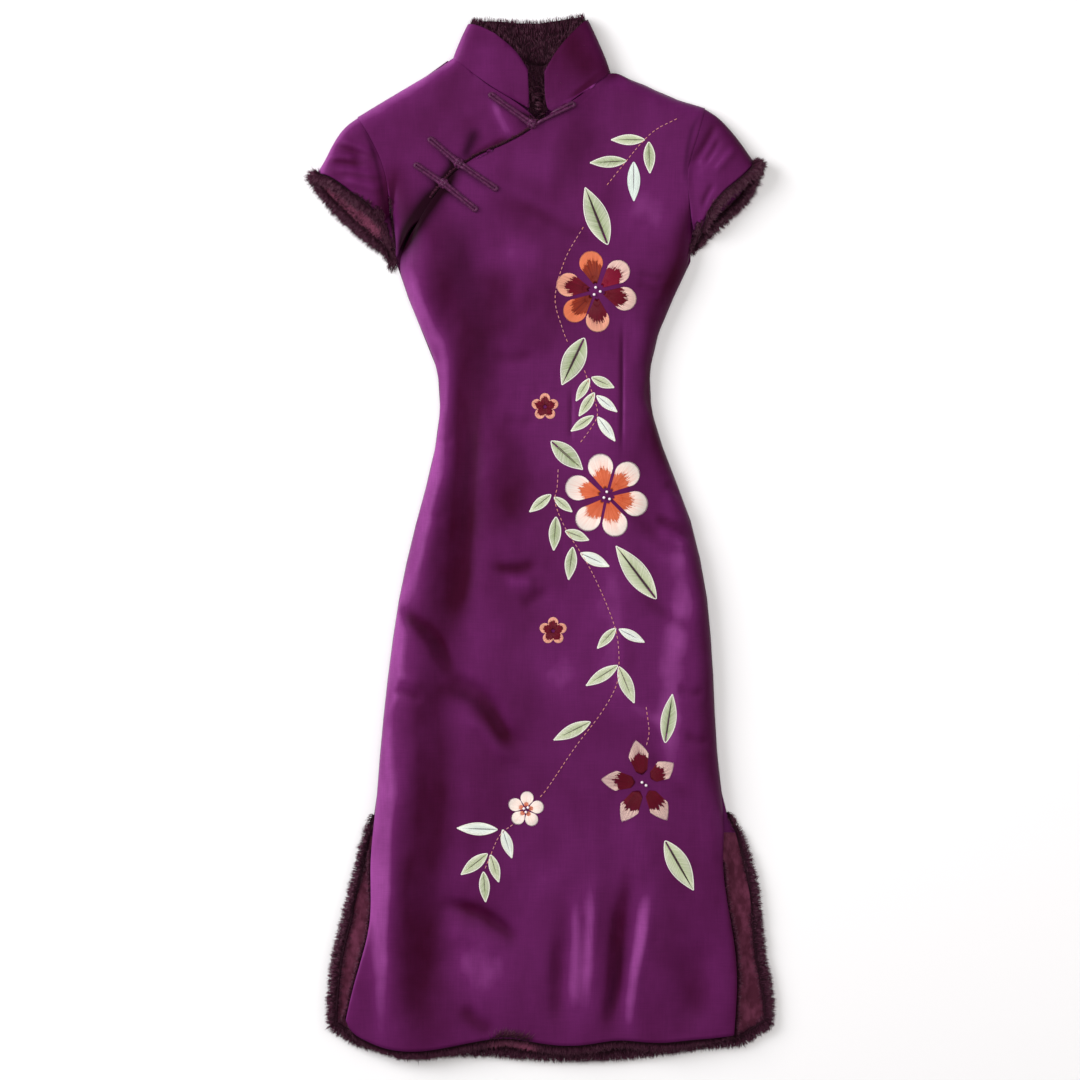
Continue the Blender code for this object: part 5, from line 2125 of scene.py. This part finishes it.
LEAVES = (
    # base across, base down, tip across, tip down, slimness, inside, edge, rib
    (644, 143, 611, 143, 0.30, Floss.PALE_SAGE, Floss.CREAM, None),
    (648, 145, 649, 176, 0.34, Floss.SAGE, Floss.CREAM, None),
    (626, 164, 590, 166, 0.30, Floss.SAGE, Floss.CREAM, None),
    (633, 165, 633, 204, 0.30, Floss.ICE, Floss.ICE, None),
    (607, 248, 585, 191, 0.36, Floss.SAGE, Floss.CREAM, Floss.MOSS),
    (584, 340, 562, 386, 0.42, Floss.SAGE, Floss.CREAM, Floss.MOSS),
    (591, 379, 613, 389, 0.40, Floss.PALE_SAGE, Floss.CREAM, None),
    (589, 380, 576, 402, 0.34, Floss.PALE_SAGE, Floss.CREAM, None),
    (594, 394, 579, 417, 0.34, Floss.PALE_SAGE, Floss.CREAM, None),
    (596, 397, 616, 413, 0.34, Floss.ICE, Floss.CREAM, None),
    (593, 417, 571, 432, 0.32, Floss.PALE_SAGE, Floss.CREAM, None),
    (597, 418, 614, 442, 0.32, Floss.ICE, Floss.CREAM, None),
    (551, 442, 582, 470, 0.42, Floss.SAGE, Floss.CREAM, Floss.SAGE),
    (551, 495, 530, 512, 0.36, Floss.PALE_SAGE, Floss.CREAM, None),
    (554, 497.5, 571.5, 512, 0.36, Floss.PALE_SAGE, Floss.CREAM, None),
    (556, 517, 553.6, 550, 0.34, Floss.SAGE, Floss.CREAM, None),
    (565, 531, 588, 540, 0.40, Floss.PALE_SAGE, Floss.CREAM, None),
    (572.5, 547, 568.4, 579, 0.34, Floss.SAGE, Floss.CREAM, None),
    (580, 553, 608, 566, 0.36, Floss.ICE, Floss.CREAM, None),
    (655, 598.4, 615.4, 546.3, 0.32, Floss.PALE_SAGE, Floss.CREAM, Floss.MOSS),
    (615, 627, 597, 647, 0.34, Floss.PALE_SAGE, Floss.CREAM, None),
    (618, 628, 643, 641, 0.32, Floss.ICE, Floss.CREAM, None),
    (617, 664, 586, 684, 0.30, Floss.PALE_SAGE, Floss.CREAM, None),
    (618, 665, 633, 701, 0.32, Floss.PALE_SAGE, Floss.CREAM, None),
    (590, 720, 554, 738, 0.30, Floss.PALE_SAGE, Floss.CREAM, None),
    (498, 827, 458, 826, 0.30, Floss.ICE, Floss.CREAM, None),
    (503, 827, 512, 855, 0.34, Floss.ICE, Floss.CREAM, None),
    (488, 851, 462, 872, 0.34, Floss.PALE_SAGE, Floss.CREAM, None),
    (491, 852, 499, 879, 0.34, Floss.PALE_SAGE, Floss.CREAM, None),
    (484, 869, 486, 899, 0.32, Floss.SAGE, Floss.CREAM, None),
    (664, 741, 671, 693, 0.30, Floss.SAGE, Floss.CREAM, Floss.MOSS),
    (664, 838, 692, 887, 0.36, Floss.PALE_SAGE, Floss.CREAM, Floss.MOSS),
)

VINES = (
    ((676, 122), (655, 133), (640, 147), (625, 165), (605, 190)),
    ((583, 230), (565, 262), (555, 300), (562, 330), (569, 348)),
    ((584, 372), (592, 395), (597, 415), (590, 430), (578, 446)),
    ((558, 470), (557, 488), (555, 503), (566, 530), (585, 560), (600, 590), (612, 620), (617, 640),
     (618, 665), (615, 685), (600, 712), (575, 745), (548, 785), (538, 797)),
    ((513, 822), (500, 833), (490, 855), (484, 870)),
    ((645, 705), (648, 730), (645, 745)),
)

BLOSSOMS = (
    Blossom(photo_place(596, 294), (101, 42, -15, -88, 222, 167), 49.0, 14.0, Floss.OXBLOOD, Floss.CRIMSON,
            Floss.PEACH, heart=5.0, change=0.80,
            odd=((0, Floss.OXBLOOD, Floss.RUST, Floss.CORAL), (1, Floss.CRIMSON, Floss.CRIMSON, Floss.BLUSH),
                 (4, Floss.OXBLOOD, Floss.RUST, Floss.CORAL),
                 (2, Floss.OXBLOOD, Floss.CRIMSON, Floss.BLUSH))),
    Blossom(photo_place(606, 496), (102, 46, -16, -74, 231, 165), 51.0, 15.0, Floss.RUST, Floss.CORAL,
            Floss.WHITE, heart=4.5, change=0.66),
    Blossom(photo_place(545, 408), (90, 18, -54, -126, 162), 16.6, 6.0, Floss.OXBLOOD, Floss.CRIMSON,
            Floss.PEACH, heart=0.6, change=0.85),
    Blossom(photo_place(553, 630), (90, 18, -54, -126, 162), 16.8, 6.1, Floss.OXBLOOD, Floss.CRIMSON,
            Floss.PEACH, heart=0.6, change=0.85),
    Blossom(photo_place(526, 807), (84, 12, -60, -132, 156), 22.3, 7.9, Floss.RUST, Floss.PEACH,
            Floss.WHITE, heart=2.2, change=0.30),
    Blossom(photo_place(643, 781), (101, 34, -58, 240, 175), 53.0, 12.0, Floss.OXBLOOD, Floss.CRIMSON,
            Floss.BLUSH, heart=8.0, change=0.64, pointed=True, shares=(1.0, 0.82, 1.0, 1.02, 0.98)),
)

BEADS = (
    (595, 290.5), (599.5, 294.5), (593.5, 297.5), (606, 492.4), (603.2, 498.1), (608.7, 499.5),
    (524, 806), (528, 805), (526, 809.5), (641, 780), (645, 783),
)


@dataclass
class Embroidery:
    """The flowering vine that is sewn down the front."""

    seed: int = 7
    bead_radius: float = 1.7

    def leaves(self) -> Iterable[Leaf]:
        """Lists the leaves.

        Yields:
            Each leaf.
        """
        for base_x, base_y, tip_x, tip_y, slimness, inside, edge, rib in LEAVES:
            yield Leaf(photo_place(base_x, base_y), photo_place(tip_x, tip_y), slimness, inside, edge, rib)

    def beads(self, ground: Ground, material: Material) -> None:
        """Sews the pearl beads on.

        Args:
            ground: The cloth that they lie on.
            material: The pearls' finish.
        """
        bpy.ops.object.select_all(action="DESELECT")
        bpy.ops.mesh.primitive_uv_sphere_add(segments=14, ring_count=8, radius=self.bead_radius * MM)
        bead = take_template(bpy.context.object)
        places = [photo_place(*place) for place in BEADS]
        copies = np.stack([
            bead.points + np.array([x, y, ground.height((x, y)) + self.bead_radius * 0.8 + 0.5]) * MM
            for x, y in places
        ])
        points, faces = repeat(bead, len(places), copies)
        dress(new_piece("pearl_beads", points, faces), material)

    def make(self, floss: Material, pearl: Material, ground: Ground) -> None:
        """Makes the embroidery.

        Args:
            floss: The floss's finish.
            pearl: The beads' finish.
            ground: The cloth that it is sewn to.
        """
        chance = np.random.default_rng(self.seed)
        stitch = model_stitch()
        leaves = [sewn for leaf in self.leaves() for sewn in leaf.stitches(chance)]
        sew("embroidered_leaves", leaves, ground, stitch, floss)
        petals = [sewn for flower in BLOSSOMS for petal in flower.petals() for sewn in petal.stitches(chance)]
        sew("embroidered_blossoms", petals, ground, stitch, floss)
        vines = [
            sewn for route in VINES
            for sewn in Vine(tuple(photo_place(*place) for place in route)).stitches(chance)
        ]
        sew("embroidered_vines", vines, ground, stitch, floss)
        self.beads(ground, pearl)


# The studio


@dataclass
class Studio:
    """The pale floor, the soft light and the camera that looks straight down."""

    lens: float = 85.0
    sensor: float = 36.0

    def floor(self) -> None:
        """Lays the floor."""
        bpy.ops.object.select_all(action="DESELECT")
        bpy.ops.mesh.primitive_plane_add(size=14.0, location=(0.0, 0.0, -0.0004))
        ground = bpy.context.object
        ground.name = "floor"
        bench = NodeBench("pale_floor")
        bench.shine(Base_Color=(0.94, 0.94, 0.94, 1.0), Roughness=0.9, Specular_IOR_Level=0.1)
        ground.data.materials.append(bench.material)

    def lamp(self, name: str, place: Axes, size: float, power: float, colour: Colour) -> None:
        """Hangs one square soft light that faces the garment.

        Args:
            name: Its name.
            place: Where it hangs, in metres.
            size: The length of its side, in metres.
            power: Its power in watts.
            colour: Its colour.
        """
        data = bpy.data.lights.new(name, "AREA")
        data.shape = "SQUARE"
        data.size = size
        data.energy = power
        data.color = colour
        lamp = new_object(name, data)
        lamp.location = place
        lamp.rotation_euler = (-Vector(place)).to_track_quat("-Z", "Y").to_euler()

    def light(self) -> None:
        """Lights the garment softly, mostly from its left."""
        self.lamp("window_light", (-2.5, 1.1, 1.8), 2.1, 112.0, (0.98, 0.97, 1.0))
        self.lamp("overhead_light", (0.3, 0.2, 2.9), 2.6, 34.0, (1.0, 0.98, 0.96))
        self.lamp("fill_light", (2.4, 0.0, 1.5), 2.0, 20.0, (1.0, 0.97, 0.98))
        world = bpy.data.worlds.new("studio_air")
        world.use_nodes = True
        world.node_tree.nodes["Background"].inputs["Color"].default_value = (1.0, 0.97, 0.96, 1.0)
        world.node_tree.nodes["Background"].inputs["Strength"].default_value = 0.28
        bpy.context.scene.world = world
        bpy.context.scene.view_settings.view_transform = "Standard"

    def camera(self) -> None:
        """Hangs the camera above the garment, as the photograph was taken."""
        data = bpy.data.cameras.new("overhead_camera")
        data.lens = self.lens
        data.sensor_width = self.sensor
        height = FRAME_PIXELS * PIXEL * MM / 2 / (self.sensor / 2 / self.lens)
        camera = new_object("overhead_camera", data)
        across, along = photo_place(FRAME_PIXELS / 2, FRAME_PIXELS / 2)
        camera.location = (across * MM, along * MM, height)
        bpy.context.scene.camera = camera

    def build(self) -> None:
        """Sets up the whole studio."""
        self.floor()
        self.light()
        self.camera()


def main() -> None:
    """Builds the garment and its studio."""
    logging.basicConfig(level=logging.INFO, format="%(message)s")
    Studio().build()
    silk = SilkFinish().material("purple_silk_cloth")
    plush = PlushFinish().material("burgundy_plush_cloth")
    front = ClothSheet(
        "front_panel", (0.49, 1.19), 0.42, FRONT_CREASES, sharpness=60.0, most_faces=150000, gussets=GUSSETS
    ).make(silk)
    underlap = ClothSheet("underlap", (0.23, 0.25), 0.029, sharpness=60.0, gussets=GUSSETS).make(silk)
    left = ClothSheet(
        "sleeve_left", (0.33, 0.085), 0.0138, LEFT_SLEEVE_CREASES, seam=1.6, gussets=GUSSETS
    ).make(silk)
    right = ClothSheet("sleeve_right", (0.34, 0.085), 0.015, RIGHT_SLEEVE_CREASES, seam=1.2).make(silk)
    collar = ClothSheet("collar", (0.39, 0.06), 0.0212, seam=1.4, gussets=GUSSETS).make(silk)
    back = FlatSheet("back_panel", (0.52, 1.19), 0.45, cell=9.0).make(silk, "silk")
    facing = FlatSheet("back_facing", (0.52, 0.27), 0.06, cell=4.0, pucker=0.9).make(plush, "plush")
    fur = FurFinish().material("dark_fur_pile")
    hair = model_hair()
    bed = Ground([front, underlap, left, right, collar, back])
    beside = {
        "front_fur": [front],
        "back_fur": [front, facing],
        "collar_fur": [collar],
        "opening_fur": [front],
        "cuff_fur_left": [left],
        "cuff_fur_right": [right],
    }
    for trim in FUR_TRIMS:
        trim.make(fur, Ground(beside[trim.node]), bed, hair)
    cloth = Ground([front, underlap, left, right, collar])
    cord = CordFinish().material("silk_cord")
    for frog in FROGS:
        frog.make(cord, cloth)
    Embroidery().make(FlossFinish().material("silk_floss"), PearlFinish().material("pearl"), cloth)


if __name__ == "__main__":
    main()
